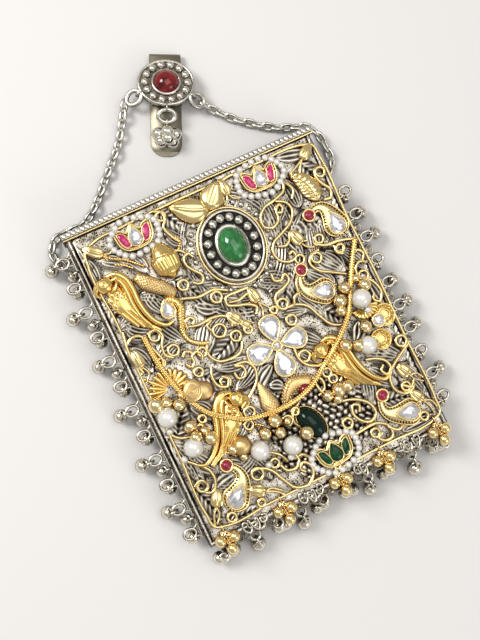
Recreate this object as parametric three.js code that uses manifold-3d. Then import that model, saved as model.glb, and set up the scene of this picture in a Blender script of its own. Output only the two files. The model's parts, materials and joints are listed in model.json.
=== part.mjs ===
// A box clutch of oxidised silver sheet, worn from the waist. It lies on its back: X is the bag's right,
// Y runs from its bottom to its lid, Z comes out of the decorated front. Millimetres.
import * as THREE from 'three';
import { mergeVertices } from 'three/addons/utils/BufferGeometryUtils.js';
import Module from 'manifold-3d';

const wasm = await Module();
wasm.setup();

// Case of soldered sheet
const CASE_WIDTH = 116;
const CASE_BOTTOM_Y = -72;
const CASE_TOP_Y = 71.7;
const CASE_DEPTH = 16;
const SHEET = 0.8;
const JOINT_GAP = 0.3;

// Lid, a shallow cap over the mouth
const LID_SKIRT = 3.2;
const LID_SHEET = 0.9;
const LID_TRIM_HEIGHT = 2.3;
const LID_TRIM_DEPTH = 1.0;
const LID_WIRE = 0.8;

// Hinge along the back of the mouth
const KNUCKLE_RADIUS = 1.5;
const KNUCKLE_BORE = 0.95;
const PIN_RADIUS = 0.65;
const LID_KNUCKLE_LENGTH = 40;
const CASE_KNUCKLE_LENGTH = 20;
const HINGE_LIFT = 1.7;
const LEAF = 0.8;
const LEAF_LENGTH = 6;

// Wire with loops along the left, right and bottom walls, and the bells on some of its loops
const EDGE_WIRE_LEVEL = 11;
const EDGE_WIRE = 0.86;
const EDGE_WIRE_OFFSET = 4.6;
const LOOP_RADIUS = 2.6;
const LEFT_LOOPS = { first: 62.5, pitch: 11.5, count: 12, bells: [1, 3, 5, 7, 9, 11] };
const RIGHT_LOOPS = { first: 41, pitch: 11.2, count: 10, bells: [0, 3, 7, 9] };
const BOTTOM_LOOPS = { first: -49.5, pitch: 11, count: 10, bells: [0, 2, 4, 5, 7, 9] };
const BELL_RADIUS = 2.4;
const BELL_EYE = { bore: 0.85, radius: 1.45, width: 0.7 };

// Wire panel over the front, and the gold ball drops on its lower wire
const PANEL_SHIFT = 1.75;
const PANEL_WIDTH = 111;
const PANEL_HEIGHT = 133;
const PANEL_CORNER = 2.5;
const PANEL_WIRE_RADIUS = 0.6;
const DROP_EYE_BORE = PANEL_WIRE_RADIUS / 0.6;
const DROP_EYE = { bore: DROP_EYE_BORE, radius: DROP_EYE_BORE + 0.4, width: 0.8 };
const DROP_BALL_RADIUS = 2.2;
const DROP_BALLS = [[-3.0, -4.7], [3.0, -5.2], [0.3, -9.4]];
const DROP_PLACES = [-52, -25, 2, 23, 50.5];
const DROP_STEM = 0.8;

// Stones and charms of the panel
const CHARM_HEIGHT = 2.4;
const BEZEL = { x: 3.5, y: 39, radiusX: 13.7, radiusY: 16, height: 2.5 };
const GREEN_STONE = { radiusX: 5.8, radiusY: 8.2, height: 4.6 };
const DARK_STONE = { x: 1.6, y: -44, radiusX: 4.8, radiusY: 8, height: 4.6, turn: 20 };
const LOTUS_WIDTH = 15.6;
const LOTUS_HEIGHT = 9.6;
const LOTUSES = { lotus_left: [-32.6, 59.6], lotus_right: [27.2, 60.6], lotus_green: [5.2, -59.5] };
const PAISLEY_STONE_RADIUS = 5.2;
const PAISLEY_TIP_RADIUS = 2.8;
const PAISLEYS = {
  paisley_upper: { stone: [49.2, 29], bend: [48.5, 43], tip: [39.7, 37] },
  paisley_middle: { stone: [31, 4.6], bend: [19, 7.5], tip: [26, 17] },
  paisley_lower_left: { stone: [-41, -58], bend: [-30.5, -50.5], tip: [-39.3, -44] },
  paisley_lower_right: { stone: [42, -58.6], bend: [28, -56], tip: [34.5, -47] },
};
const PARROT_HEIGHT = 3.4;
const PARROT_SPINE = [[-2.6, 8.6], [-0.6, 4.0], [-0.2, -1.8], [2.4, -8.6], [5.6, -14.2], [9.2, -18.6]];
const PARROT_RADII = [3.6, 3.6, 4.8, 3.4, 2.0, 1.2];
const PARROTS = {
  parrot_left: { x: -48, y: 37, turn: 4, mirror: 1 },
  parrot_middle: { x: -31, y: -27.5, turn: -23, mirror: -1 },
  parrot_right: { x: 25, y: -26, turn: 12.7, mirror: 1 },
};
const FLOWER = { x: 2.2, y: -8, petalLength: 10.8, petalWidth: 8.6, eye: 1.6 };

// Belt hook on the two chains: an oval badge on a folded strip
const HOOK = { x: 11.65, y: 117.8, turn: -23.95, tilt: 8 };
const BADGE = { radiusX: 12, radiusY: 10.3, height: 1.6 };
const HOOK_STONE = { radius: 5.2, height: 4.4 };
const STRIP = { width: 14, sheet: 0.9, fold: 2.0, foldAt: 13.3, backLength: 44.5, frontLength: 23.5 };
const BADGE_EYE = { bore: 1.25, radius: 2.0, width: 1.0, reach: 1.3 };
const HOOK_RING = { radius: 3.1, wire: 0.6, droop: 28 };
const HOOK_RING_TURNS = { hook_ring_left: 204, hook_ring_right: -27.5, hook_bell_ring: 270 };
const HOOK_BELL_RADIUS = 2.4;
const HOOK_BELLS = [[-2.6, -5.0], [2.6, -5.2], [0.1, -9.0]];
const HOOK_BELL_EYE = { bore: 1.1, radius: 1.8, width: 0.8 };

// Curb chains, one from each side wall to the hook, as laid on the table: centre line points
const CHAIN_DIAMETER = 4.4;
const CHAIN_SIDES = 8;
const LUG = { radius: 2.2, bore: 1.3, width: 1.0, level: 2.4 };
const ROUTE_HALF_WIDTH = 58;
const ROUTE_FREE_Y = 100;
const LEFT_LUG_Y = 64;
const RIGHT_LUG_Y = 53;
const LEFT_CHAIN = [
  [-63.7, 64.3, 2.4], [-65.2, 66.4, 2.4], [-65.2, 69.8, 2.4], [-63.4, 73.4, 2.4], [-59.0, 75.7, 2.4],
  [-53.6, 75.7, 2.4], [-48.8, 76.0, 2.4], [-44.4, 77.8, 2.4], [-40.0, 81.2, 2.4], [-35.7, 85.1, 2.4],
  [-31.4, 89.6, 2.4], [-27.2, 93.8, 2.4], [-22.9, 98.1, 2.4], [-18.6, 102.6, 2.5], [-15.2, 107.4, 2.9],
  [-12.1, 112.2, 3.6], [-9.1, 116.8, 4.5],
];
const RIGHT_CHAIN = [
  [63.2, 53.0, 2.4], [65.4, 54.0, 2.4], [66.6, 57.2, 2.4], [67.0, 62.0, 2.4], [66.8, 67.0, 2.4],
  [65.6, 72.0, 2.4], [62.4, 75.8, 2.4], [57.6, 77.9, 2.4], [52.4, 79.8, 2.4], [47.4, 82.4, 2.4],
  [42.6, 85.6, 2.4], [38.0, 89.0, 2.4], [33.6, 92.6, 2.4], [29.6, 96.6, 2.6], [26.4, 100.2, 3.4],
  [24.3, 103.0, 4.1],
];

const SILVER = new THREE.MeshStandardMaterial({ color: 0xa8a296, roughness: 0.38, metalness: 1 });
const GOLD = new THREE.MeshStandardMaterial({ color: 0xd9ac58, roughness: 0.3, metalness: 1 });
const GREEN = new THREE.MeshStandardMaterial({ color: 0x1f6b34, roughness: 0.15, metalness: 0 });
const DARK_GREEN = new THREE.MeshStandardMaterial({ color: 0x0b2a1e, roughness: 0.12, metalness: 0 });
const RED = new THREE.MeshStandardMaterial({ color: 0x7a0f18, roughness: 0.12, metalness: 0 });
const ENAMEL = new THREE.MeshStandardMaterial({ color: 0xc81e5e, roughness: 0.2, metalness: 0 });
const CLEAR = new THREE.MeshStandardMaterial({ color: 0xdfe2e4, roughness: 0.08, metalness: 0 });

const halfWidth = CASE_WIDTH / 2;
const radians = THREE.MathUtils.degToRad;

// Closed geometry as a solid for joining and cutting
function solid(geometry) {
  const bare = geometry.clone();
  bare.deleteAttribute('normal');
  bare.deleteAttribute('uv');
  const merged = mergeVertices(bare, 1e-4);
  const vertProperties = new Float32Array(merged.attributes.position.array);
  const triVerts = new Uint32Array(merged.index.array);
  return new wasm.Manifold(new wasm.Mesh({ numProp: 3, vertProperties, triVerts }));
}

function geometryOf(body) {
  const mesh = body.getMesh();
  const geometry = new THREE.BufferGeometry();
  geometry.setAttribute('position', new THREE.BufferAttribute(mesh.vertProperties, 3));
  geometry.setIndex(new THREE.BufferAttribute(mesh.triVerts, 1));
  geometry.computeVertexNormals();
  return geometry;
}

// One body out of pieces that run into each other
function joined(geometries) {
  return geometryOf(geometries.map(solid).reduce((sum, piece) => sum.add(piece)));
}

// Box between two corners
function block(x0, x1, y0, y1, z0, z1) {
  const box = new THREE.BoxGeometry(x1 - x0, y1 - y0, z1 - z0);
  return box.translate((x0 + x1) / 2, (y0 + y1) / 2, (z0 + z1) / 2);
}

// Flat plate of an outline, standing from z = 0 to its height
function plate(shape, height, curveSegments = 6) {
  return new THREE.ExtrudeGeometry(shape, { depth: height, bevelEnabled: false, curveSegments });
}

// Flat ring in the XY plane, halved about z = 0
function flatRing({ radius, bore, width }, sides = 10) {
  const points = (r) => new THREE.EllipseCurve(0, 0, r, r).getPoints(sides).slice(0, sides);
  const shape = new THREE.Shape(points(radius));
  shape.holes.push(new THREE.Path(points(bore)));
  return plate(shape, width).translate(0, 0, -width / 2);
}

// Ring standing in the YZ plane, so that a wire along X passes through it
function standingRing(size, sides = 10) {
  return flatRing(size, sides).rotateY(Math.PI / 2);
}

// Round wire along a curve
function wireAlong(curve, radius, steps, sides) {
  const section = new THREE.EllipseCurve(0, 0, radius, radius).getPoints(sides).slice(0, sides);
  return new THREE.ExtrudeGeometry(new THREE.Shape(section), { steps, extrudePath: curve });
}

function wireBetween(from, to, radius) {
  const line = new THREE.LineCurve3(new THREE.Vector3(...from), new THREE.Vector3(...to));
  return wireAlong(line, radius, 1, 6);
}

// Half ellipsoid on a flat base, for a polished stone
function cabochon(radiusX, radiusY, height, sides = 16, rings = 4) {
  const profile = [new THREE.Vector2(0, 0)];
  for (let i = 0; i <= rings; i += 1) {
    const angle = (i / rings) * (Math.PI / 2);
    profile.push(new THREE.Vector2(i === rings ? 0 : Math.cos(angle), Math.sin(angle)));
  }
  return new THREE.LatheGeometry(profile, sides).rotateX(Math.PI / 2).scale(radiusX, radiusY, height);
}

function ellipse(radiusX, radiusY, sides) {
  return new THREE.Shape(new THREE.EllipseCurve(0, 0, radiusX, radiusY).getPoints(sides).slice(0, sides));
}

function named(name, geometry, material, parent) {
  const mesh = new THREE.Mesh(geometry, material);
  mesh.name = name;
  parent.add(mesh);
  return mesh;
}

// Rolled knuckle with its leaf, along X and centred on the hinge line; the leaf runs along +Z
function knuckle(length) {
  const roll = standingRing({ radius: KNUCKLE_RADIUS, bore: KNUCKLE_BORE, width: length }, 12);
  const leaf = block(
    -length / 2, length / 2, -KNUCKLE_RADIUS, LEAF - KNUCKLE_RADIUS, KNUCKLE_BORE / 2, LEAF_LENGTH,
  );
  const bore = new THREE.CylinderGeometry(KNUCKLE_BORE, KNUCKLE_BORE, length + 2, 12).rotateZ(Math.PI / 2);
  return geometryOf(solid(roll).add(solid(leaf)).subtract(solid(bore)));
}

// Case: back, front and three walls, with the hinge's outer knuckles rolled on the back
const hingeY = CASE_TOP_Y + KNUCKLE_RADIUS + JOINT_GAP;
const lidTopY = CASE_TOP_Y + JOINT_GAP + LID_SHEET;

function buildCase(bag) {
  const innerTop = CASE_DEPTH - SHEET;
  const wallLow = SHEET + JOINT_GAP;
  const wallHigh = innerTop - JOINT_GAP;
  const knuckleAt = LID_KNUCKLE_LENGTH / 2 + JOINT_GAP + CASE_KNUCKLE_LENGTH / 2;
  const knuckles = [-1, 1].map((side) => knuckle(CASE_KNUCKLE_LENGTH)
    .rotateX(Math.PI / 2)
    .translate(side * knuckleAt, hingeY, HINGE_LIFT));
  const back = block(-halfWidth, halfWidth, CASE_BOTTOM_Y, CASE_TOP_Y, 0, SHEET);
  named('back_plate', joined([back, ...knuckles]), SILVER, bag);
  const front = block(-halfWidth, halfWidth, CASE_BOTTOM_Y, CASE_TOP_Y, innerTop, CASE_DEPTH);
  named('front_plate', front, SILVER, bag);
  const wallTop = CASE_TOP_Y;
  const left = block(-halfWidth, SHEET - halfWidth, CASE_BOTTOM_Y, wallTop, wallLow, wallHigh);
  named('left_wall', left, SILVER, bag);
  const right = block(halfWidth - SHEET, halfWidth, CASE_BOTTOM_Y, wallTop, wallLow, wallHigh);
  named('right_wall', right, SILVER, bag);
  const floorEnd = halfWidth - SHEET - JOINT_GAP;
  const floor = block(-floorEnd, floorEnd, CASE_BOTTOM_Y, CASE_BOTTOM_Y + SHEET, wallLow, wallHigh);
  named('bottom_wall', floor, SILVER, bag);
  const pinEnd = knuckleAt + CASE_KNUCKLE_LENGTH / 2;
  const pin = new THREE.CylinderGeometry(PIN_RADIUS, PIN_RADIUS, 2 * pinEnd, 10).rotateZ(Math.PI / 2);
  named('hinge_pin', pin.translate(0, hingeY, HINGE_LIFT), SILVER, bag);
}

// Lid: top sheet, front and side skirts and its own knuckle, with a beaded bar and a gold wire in front
function buildLid(bag) {
  const side = halfWidth + JOINT_GAP + LID_SHEET;
  const backZ = HINGE_LIFT + KNUCKLE_RADIUS + JOINT_GAP;
  const frontZ = CASE_DEPTH + JOINT_GAP + LID_SHEET;
  const lowY = lidTopY - LID_SKIRT;
  const underY = lidTopY - LID_SHEET;
  const top = block(-side, side, underY, lidTopY, backZ, frontZ);
  const skirt = block(-side, side, lowY, lidTopY, frontZ - LID_SHEET, frontZ);
  const ends = [-1, 1].map((end) => block(
    end * side - (end > 0 ? LID_SHEET : 0), end * side + (end > 0 ? 0 : LID_SHEET),
    lowY, lidTopY, backZ, frontZ,
  ));
  const lidHinge = knuckle(LID_KNUCKLE_LENGTH).translate(0, hingeY, HINGE_LIFT);
  const tongue = block(
    -LID_KNUCKLE_LENGTH / 2, LID_KNUCKLE_LENGTH / 2, hingeY - KNUCKLE_RADIUS, lidTopY,
    backZ - JOINT_GAP / 2, HINGE_LIFT + LEAF_LENGTH,
  );
  named('lid_cap', joined([top, skirt, ...ends, lidHinge, tongue]), SILVER, bag);
  const trimZ = frontZ + JOINT_GAP;
  const trimLow = lidTopY - LID_TRIM_HEIGHT;
  named('lid_trim', block(-side, side, trimLow, lidTopY, trimZ, trimZ + LID_TRIM_DEPTH), SILVER, bag);
  const wireHigh = trimLow - JOINT_GAP;
  const wire = block(-side, side, wireHigh - LID_WIRE, wireHigh, trimZ, trimZ + LID_WIRE);
  named('lid_gold_wire', wire, GOLD, bag);
}

// Straight wire with a loop at each place, flat at z = 0; the loops stand out along -Y
function loopedWire(places, length) {
  const half = EDGE_WIRE / 2;
  const rail = block(-length / 2, length / 2, -JOINT_GAP - EDGE_WIRE, -JOINT_GAP, -half, half);
  const size = { radius: LOOP_RADIUS, bore: LOOP_RADIUS - EDGE_WIRE, width: EDGE_WIRE };
  const loops = places.map((at) => flatRing(size, 12).translate(at, -EDGE_WIRE_OFFSET, 0));
  const root = LOOP_RADIUS - EDGE_WIRE / 2 - EDGE_WIRE_OFFSET;
  const tangs = places.map((at) => block(at - half, at + half, root, -JOINT_GAP - half, -half, half));
  return joined([rail, ...loops, ...tangs]);
}

// Round bell hanging along -Z from its eye, which is centred on the origin
function bell() {
  const eye = standingRing(BELL_EYE);
  const drop = BELL_EYE.radius + BELL_RADIUS - 0.25;
  const ball = new THREE.SphereGeometry(BELL_RADIUS, 10, 7).rotateX(Math.PI / 2).translate(0, 0, -drop);
  return joined([eye, ball]);
}

function placesOf({ first, pitch, count }, direction) {
  return Array.from({ length: count }, (_, i) => first + direction * i * pitch);
}

// Distance from a loop's centre to the middle of its wire, where a bell's eye hangs
const hangReach = LOOP_RADIUS - EDGE_WIRE / 2;

function buildEdge(bag) {
  const sideX = halfWidth + EDGE_WIRE_OFFSET;
  const bottomY = CASE_BOTTOM_Y - EDGE_WIRE_OFFSET;
  const hang = (name, x, y) => named(name, bell(), SILVER, bag).position.set(x, y, EDGE_WIRE_LEVEL);
  const sides = [['left', LEFT_LOOPS, -1], ['right', RIGHT_LOOPS, 1]];
  for (const [side, loops, sign] of sides) {
    const places = placesOf(loops, -1);
    const middle = (places[0] + places.at(-1)) / 2;
    const length = places[0] - places.at(-1) + 2 * LOOP_RADIUS;
    const wire = loopedWire(places.map((y) => y - middle), length).rotateZ(sign * Math.PI / 2);
    named(`edge_wire_${side}`, wire, SILVER, bag)
      .position.set(sign * halfWidth, middle, EDGE_WIRE_LEVEL);
    loops.bells.forEach((loop, i) => {
      hang(`bell_${side}_${i + 1}`, sign * sideX, places[loop] - hangReach);
    });
  }
  const places = placesOf(BOTTOM_LOOPS, 1);
  const length = places.at(-1) - places[0] + 2 * LOOP_RADIUS;
  named('edge_wire_bottom', loopedWire(places, length), SILVER, bag)
    .position.set(0, CASE_BOTTOM_Y, EDGE_WIRE_LEVEL);
  BOTTOM_LOOPS.bells.forEach((loop, i) => {
    hang(`bell_bottom_${i + 1}`, places[loop], bottomY - hangReach);
  });
}

// Three gold balls on stems from an eye at the origin, lying along -Y on the sheet below
function goldDrop(ballRise) {
  const pieces = [standingRing(DROP_EYE)];
  for (const [x, y] of DROP_BALLS) {
    pieces.push(new THREE.SphereGeometry(DROP_BALL_RADIUS, 9, 6).translate(x, y, ballRise));
    const stemRoot = [0, -(DROP_EYE.radius + DROP_EYE.bore) / 2, 0];
    pieces.push(wireBetween(stemRoot, [x, y, ballRise], DROP_STEM / 2));
  }
  return joined(pieces);
}

// Wire rectangle with round corners
function framePath() {
  const right = PANEL_WIDTH / 2;
  const top = PANEL_HEIGHT / 2;
  const inX = right - PANEL_CORNER;
  const inY = top - PANEL_CORNER;
  const arcSteps = 4;
  const points = [];
  for (const [x, y, start] of [[inX, inY, 0], [-inX, inY, 90], [-inX, -inY, 180], [inX, -inY, 270]]) {
    for (let i = 0; i <= arcSteps; i += 1) {
      const angle = radians(start + (90 * i) / arcSteps);
      points.push([x + PANEL_CORNER * Math.cos(angle), y + PANEL_CORNER * Math.sin(angle)]);
    }
  }
  return points;
}

// Closed wire of square-ish section around an outline, as two outlines a wire apart
function wireFrame() {
  const offset = (sign) => {
    const path = framePath();
    const right = PANEL_WIDTH / 2;
    const top = PANEL_HEIGHT / 2;
    return path.map(([x, y]) => new THREE.Vector2(
      x * (1 + (sign * PANEL_WIRE_RADIUS) / right), y * (1 + (sign * PANEL_WIRE_RADIUS) / top),
    ));
  };
  const shape = new THREE.Shape(offset(1));
  shape.holes.push(new THREE.Path(offset(-1)));
  const height = 2 * PANEL_WIRE_RADIUS;
  return plate(shape, height).translate(0, 0, -PANEL_WIRE_RADIUS);
}

// Lotus seen from the side: a middle petal between two that curve outwards, on a rounded base
function lotusShape(w, h) {
  const shape = new THREE.Shape();
  shape.moveTo(0, h * 0.5);
  shape.quadraticCurveTo(-w * 0.15, h * 0.36, -w * 0.2, h * 0.22);
  shape.quadraticCurveTo(-w * 0.33, h * 0.42, -w * 0.47, h * 0.46);
  shape.quadraticCurveTo(-w * 0.56, -h * 0.12, -w * 0.2, -h * 0.45);
  shape.quadraticCurveTo(0, -h * 0.55, w * 0.2, -h * 0.45);
  shape.quadraticCurveTo(w * 0.56, -h * 0.12, w * 0.47, h * 0.46);
  shape.quadraticCurveTo(w * 0.33, h * 0.42, w * 0.2, h * 0.22);
  shape.quadraticCurveTo(w * 0.15, h * 0.36, 0, h * 0.5);
  return shape;
}

// Band along a line, as wide at each place as its radius there, with round ends
function bandShape(line, radiusAt, steps) {
  const capSteps = 5;
  const outline = [];
  const side = (t, sign) => {
    const along = line.getTangent(t);
    const across = new THREE.Vector2(sign * along.y, -sign * along.x);
    return line.getPoint(t).add(across.multiplyScalar(radiusAt(t)));
  };
  const cap = (t, turn) => {
    const centre = line.getPoint(t);
    const start = line.getTangent(t).angle() + turn;
    for (let i = 1; i < capSteps; i += 1) {
      const angle = start + (Math.PI * i) / capSteps;
      const spoke = new THREE.Vector2(Math.cos(angle), Math.sin(angle));
      outline.push(spoke.multiplyScalar(radiusAt(t)).add(centre));
    }
  };
  for (let i = 0; i <= steps; i += 1) outline.push(side(i / steps, 1));
  cap(1, -Math.PI / 2);
  for (let i = steps; i >= 0; i -= 1) outline.push(side(i / steps, -1));
  cap(0, Math.PI / 2);
  return new THREE.Shape(outline);
}

// Paisley: a bent band from its stone to its tip that narrows quickly at first
function paisleyShape({ stone, bend, tip }) {
  const ends = [stone, bend, tip].map(([x, y]) => new THREE.Vector2(x, y));
  const radiusAt = (t) => THREE.MathUtils.lerp(PAISLEY_STONE_RADIUS, PAISLEY_TIP_RADIUS, Math.sqrt(t));
  return bandShape(new THREE.QuadraticBezierCurve(...ends), radiusAt, 8);
}

// Parrot in profile: a band from the head along the back to the end of the tail
function parrotShape() {
  const spine = new THREE.SplineCurve(PARROT_SPINE.map(([x, y]) => new THREE.Vector2(x, y)));
  const last = PARROT_RADII.length - 1;
  const radiusAt = (t) => {
    const from = Math.min(Math.floor(t * last), last - 1);
    return THREE.MathUtils.lerp(PARROT_RADII[from], PARROT_RADII[from + 1], t * last - from);
  };
  return bandShape(spine, radiusAt, 16);
}

// Drop-shaped stone setting with its point at the origin, lying along +X
function petalShape(length, width) {
  const shape = new THREE.Shape();
  shape.moveTo(0, 0);
  shape.bezierCurveTo(length * 0.3, -width * 0.3, length * 0.5, -width * 0.55, length * 0.72, -width * 0.5);
  shape.bezierCurveTo(length * 1.09, -width * 0.4, length * 1.09, width * 0.4, length * 0.72, width * 0.5);
  shape.bezierCurveTo(length * 0.5, width * 0.55, length * 0.3, width * 0.3, 0, 0);
  return shape;
}

function flower() {
  const { petalLength, petalWidth, eye } = FLOWER;
  const root = eye * 0.6;
  const petals = [0, 90, 180, 270].map((turn) => plate(petalShape(petalLength, petalWidth), CHARM_HEIGHT, 4)
    .translate(root, 0, 0)
    .rotateZ(radians(turn)));
  return joined([plate(ellipse(eye, eye, 12), CHARM_HEIGHT), ...petals]);
}

// Everything soldered to the front: frame wire, stones in their settings, charms, and the gold drops
function buildPanel(bag) {
  const panel = new THREE.Group();
  panel.position.set(PANEL_SHIFT, 0, CASE_DEPTH + JOINT_GAP);
  bag.add(panel);
  const wireLevel = DROP_EYE.radius;
  const wireY = -PANEL_HEIGHT / 2;
  named('filigree_frame', wireFrame(), GOLD, panel).position.z = wireLevel;
  DROP_PLACES.forEach((x, i) => {
    const drop = goldDrop(DROP_BALL_RADIUS - wireLevel);
    named(`gold_drop_${i + 1}`, drop, GOLD, panel).position.set(x, wireY, wireLevel);
  });
  const bezel = plate(ellipse(BEZEL.radiusX, BEZEL.radiusY, 28), BEZEL.height);
  named('oval_bezel', bezel, SILVER, panel).position.set(BEZEL.x, BEZEL.y, 0);
  const green = cabochon(GREEN_STONE.radiusX, GREEN_STONE.radiusY, GREEN_STONE.height);
  named('green_cabochon', green, GREEN, panel).position.set(BEZEL.x, BEZEL.y, BEZEL.height + JOINT_GAP);
  const dark = named(
    'dark_cabochon', cabochon(DARK_STONE.radiusX, DARK_STONE.radiusY, DARK_STONE.height), DARK_GREEN, panel,
  );
  dark.position.set(DARK_STONE.x, DARK_STONE.y, 0);
  dark.rotation.z = radians(DARK_STONE.turn);
  for (const [name, [x, y]] of Object.entries(LOTUSES)) {
    const lotus = plate(lotusShape(LOTUS_WIDTH, LOTUS_HEIGHT), CHARM_HEIGHT, 4);
    named(name, lotus, name === 'lotus_green' ? DARK_GREEN : ENAMEL, panel).position.set(x, y, 0);
  }
  for (const [name, route] of Object.entries(PAISLEYS)) {
    named(name, plate(paisleyShape(route), CHARM_HEIGHT), GOLD, panel);
  }
  for (const [name, { x, y, turn, mirror }] of Object.entries(PARROTS)) {
    const parrot = named(name, plate(parrotShape(), PARROT_HEIGHT), GOLD, panel);
    parrot.position.set(x, y, 0);
    parrot.rotation.z = radians(turn);
    parrot.scale.x = mirror;
  }
  named('kundan_flower', flower(), CLEAR, panel).position.set(FLOWER.x, FLOWER.y, 0);
}

// Folded belt strip in its (Y, Z) section: flat back leg, round fold, front leg rising with the tilt
function stripShape() {
  const { sheet, fold, foldAt, backLength, frontLength } = STRIP;
  const rise = radians(HOOK.tilt);
  const last = Math.PI / 2 - rise;
  const arcSteps = 6;
  const arc = (radius, reverse) => Array.from({ length: arcSteps + 1 }, (_, i) => {
    const part = (reverse ? arcSteps - i : i) / arcSteps;
    const angle = -Math.PI / 2 + part * (last + Math.PI / 2);
    return new THREE.Vector2(foldAt + radius * Math.cos(angle), fold + radius * Math.sin(angle));
  });
  const outer = arc(fold, false);
  const inner = arc(fold - sheet, true);
  const leg = new THREE.Vector2(-Math.cos(rise), Math.sin(rise)).multiplyScalar(frontLength);
  return new THREE.Shape([
    new THREE.Vector2(foldAt - backLength, 0), ...outer, outer.at(-1).clone().add(leg),
    inner[0].clone().add(leg), ...inner, new THREE.Vector2(foldAt - backLength, sheet),
  ]);
}

function badgeRim(turn) {
  const { radiusX, radiusY } = BADGE;
  return (radiusX * radiusY) / Math.hypot(radiusY * Math.cos(turn), radiusX * Math.sin(turn));
}

function buildHook(chains) {
  const hook = new THREE.Group();
  hook.position.set(HOOK.x, HOOK.y, 0);
  hook.rotation.z = radians(HOOK.turn);
  chains.add(hook);
  const strip = plate(stripShape(), STRIP.width).translate(0, 0, -STRIP.width / 2);
  named('hook_strip', strip.rotateX(Math.PI / 2).rotateZ(Math.PI / 2), SILVER, hook);
  const rise = radians(HOOK.tilt);
  const legTop = STRIP.fold + (STRIP.fold + STRIP.foldAt * Math.sin(rise)) / Math.cos(rise);
  const badge = new THREE.Group();
  badge.position.z = legTop + JOINT_GAP / Math.cos(rise);
  badge.rotation.x = -rise;
  hook.add(badge);
  const turns = Object.entries(HOOK_RING_TURNS).map(([name, turn]) => [name, radians(turn)]);
  const eyeAt = (turn) => badgeRim(turn) + BADGE_EYE.reach;
  const eyes = turns.map(([, turn]) => flatRing(BADGE_EYE).rotateX(Math.PI / 2)
    .translate(eyeAt(turn), 0, BADGE.height / 2)
    .rotateZ(turn));
  const oval = plate(ellipse(BADGE.radiusX, BADGE.radiusY, 24), BADGE.height);
  named('hook_disc', joined([oval, ...eyes]), SILVER, badge);
  const stone = cabochon(HOOK_STONE.radius, HOOK_STONE.radius, HOOK_STONE.height);
  named('hook_cabochon', stone, RED, badge).position.z = BADGE.height + JOINT_GAP;
  for (const [name, turn] of turns) {
    const eye = new THREE.Group();
    eye.position.set(eyeAt(turn) * Math.cos(turn), eyeAt(turn) * Math.sin(turn), BADGE.height / 2);
    eye.rotation.set(0, radians(HOOK_RING.droop), turn, 'ZYX');
    badge.add(eye);
    const ring = new THREE.TorusGeometry(HOOK_RING.radius, HOOK_RING.wire, 6, 16);
    named(name, ring, SILVER, eye).position.x = HOOK_RING.radius;
    if (name === 'hook_bell_ring') hangBells(eye, hook);
  }
}

// Cluster of bells lying on the strip below the ring, on one eye around the ring's far wire
function hangBells(ringEye, hook) {
  hook.parent.updateMatrixWorld(true);
  const far = ringEye.localToWorld(new THREE.Vector3(2 * HOOK_RING.radius, 0, 0));
  const pivot = hook.worldToLocal(far);
  const ballLevel = STRIP.sheet + HOOK_BELL_RADIUS + JOINT_GAP - pivot.z;
  const pieces = [standingRing(HOOK_BELL_EYE)];
  const stemRoot = [0, -(HOOK_BELL_EYE.radius + HOOK_BELL_EYE.bore) / 2, 0];
  for (const [x, y] of HOOK_BELLS) {
    pieces.push(new THREE.SphereGeometry(HOOK_BELL_RADIUS, 10, 7).translate(x, y, ballLevel));
    pieces.push(wireBetween(stemRoot, [x, y, ballLevel], DROP_STEM / 2));
  }
  named('hook_bells', joined(pieces), SILVER, hook).position.copy(pivot);
}

// The routes are laid for one width of case: a wider one spreads them, less and less towards the hook
function buildChains(chains) {
  const spread = halfWidth - ROUTE_HALF_WIDTH;
  const routes = [['chain_left', LEFT_CHAIN, -1], ['chain_right', RIGHT_CHAIN, 1]];
  for (const [name, points, sign] of routes) {
    const curve = new THREE.CatmullRomCurve3(points.map(([x, y, z]) => {
      const share = 1 - THREE.MathUtils.smoothstep(y, CASE_TOP_Y, ROUTE_FREE_Y);
      return new THREE.Vector3(x + sign * spread * share, y, z);
    }));
    named(name, wireAlong(curve, CHAIN_DIAMETER / 2, points.length - 1, CHAIN_SIDES), SILVER, chains);
  }
}

// Eyes soldered low on the side walls for the chains' end links
function buildLugs(bag) {
  for (const [side, sign, y] of [['left', -1, LEFT_LUG_Y], ['right', 1, RIGHT_LUG_Y]]) {
    const lug = flatRing(LUG).rotateX(Math.PI / 2);
    named(`chain_lug_${side}`, lug, SILVER, bag)
      .position.set(sign * (halfWidth + JOINT_GAP + LUG.radius), y, LUG.level);
  }
}

const clutch = new THREE.Group();
const bag = new THREE.Group();
const chains = new THREE.Group();
clutch.add(bag, chains);
buildCase(bag);
buildLid(bag);
buildEdge(bag);
buildPanel(bag);
buildLugs(bag);
buildChains(chains);
buildHook(chains);

// The bag's own box, without its chains, stands with the middle of its back on the origin
const middle = new THREE.Box3().setFromObject(bag).getCenter(new THREE.Vector3());
bag.position.set(-middle.x, -middle.y, 0);
chains.position.copy(bag.position);

export default clutch;
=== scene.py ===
"""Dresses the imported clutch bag: embossed silver case, gold wirework panel with stones and pearls,
bells and chains.

Shapes are grids of points in millimetres. The panel's ornaments are placed from the middle of its
frame wire, with heights above the front sheet; the case, bells and chains from the middle of the
case, with heights above the floor.
"""

import json

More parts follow.
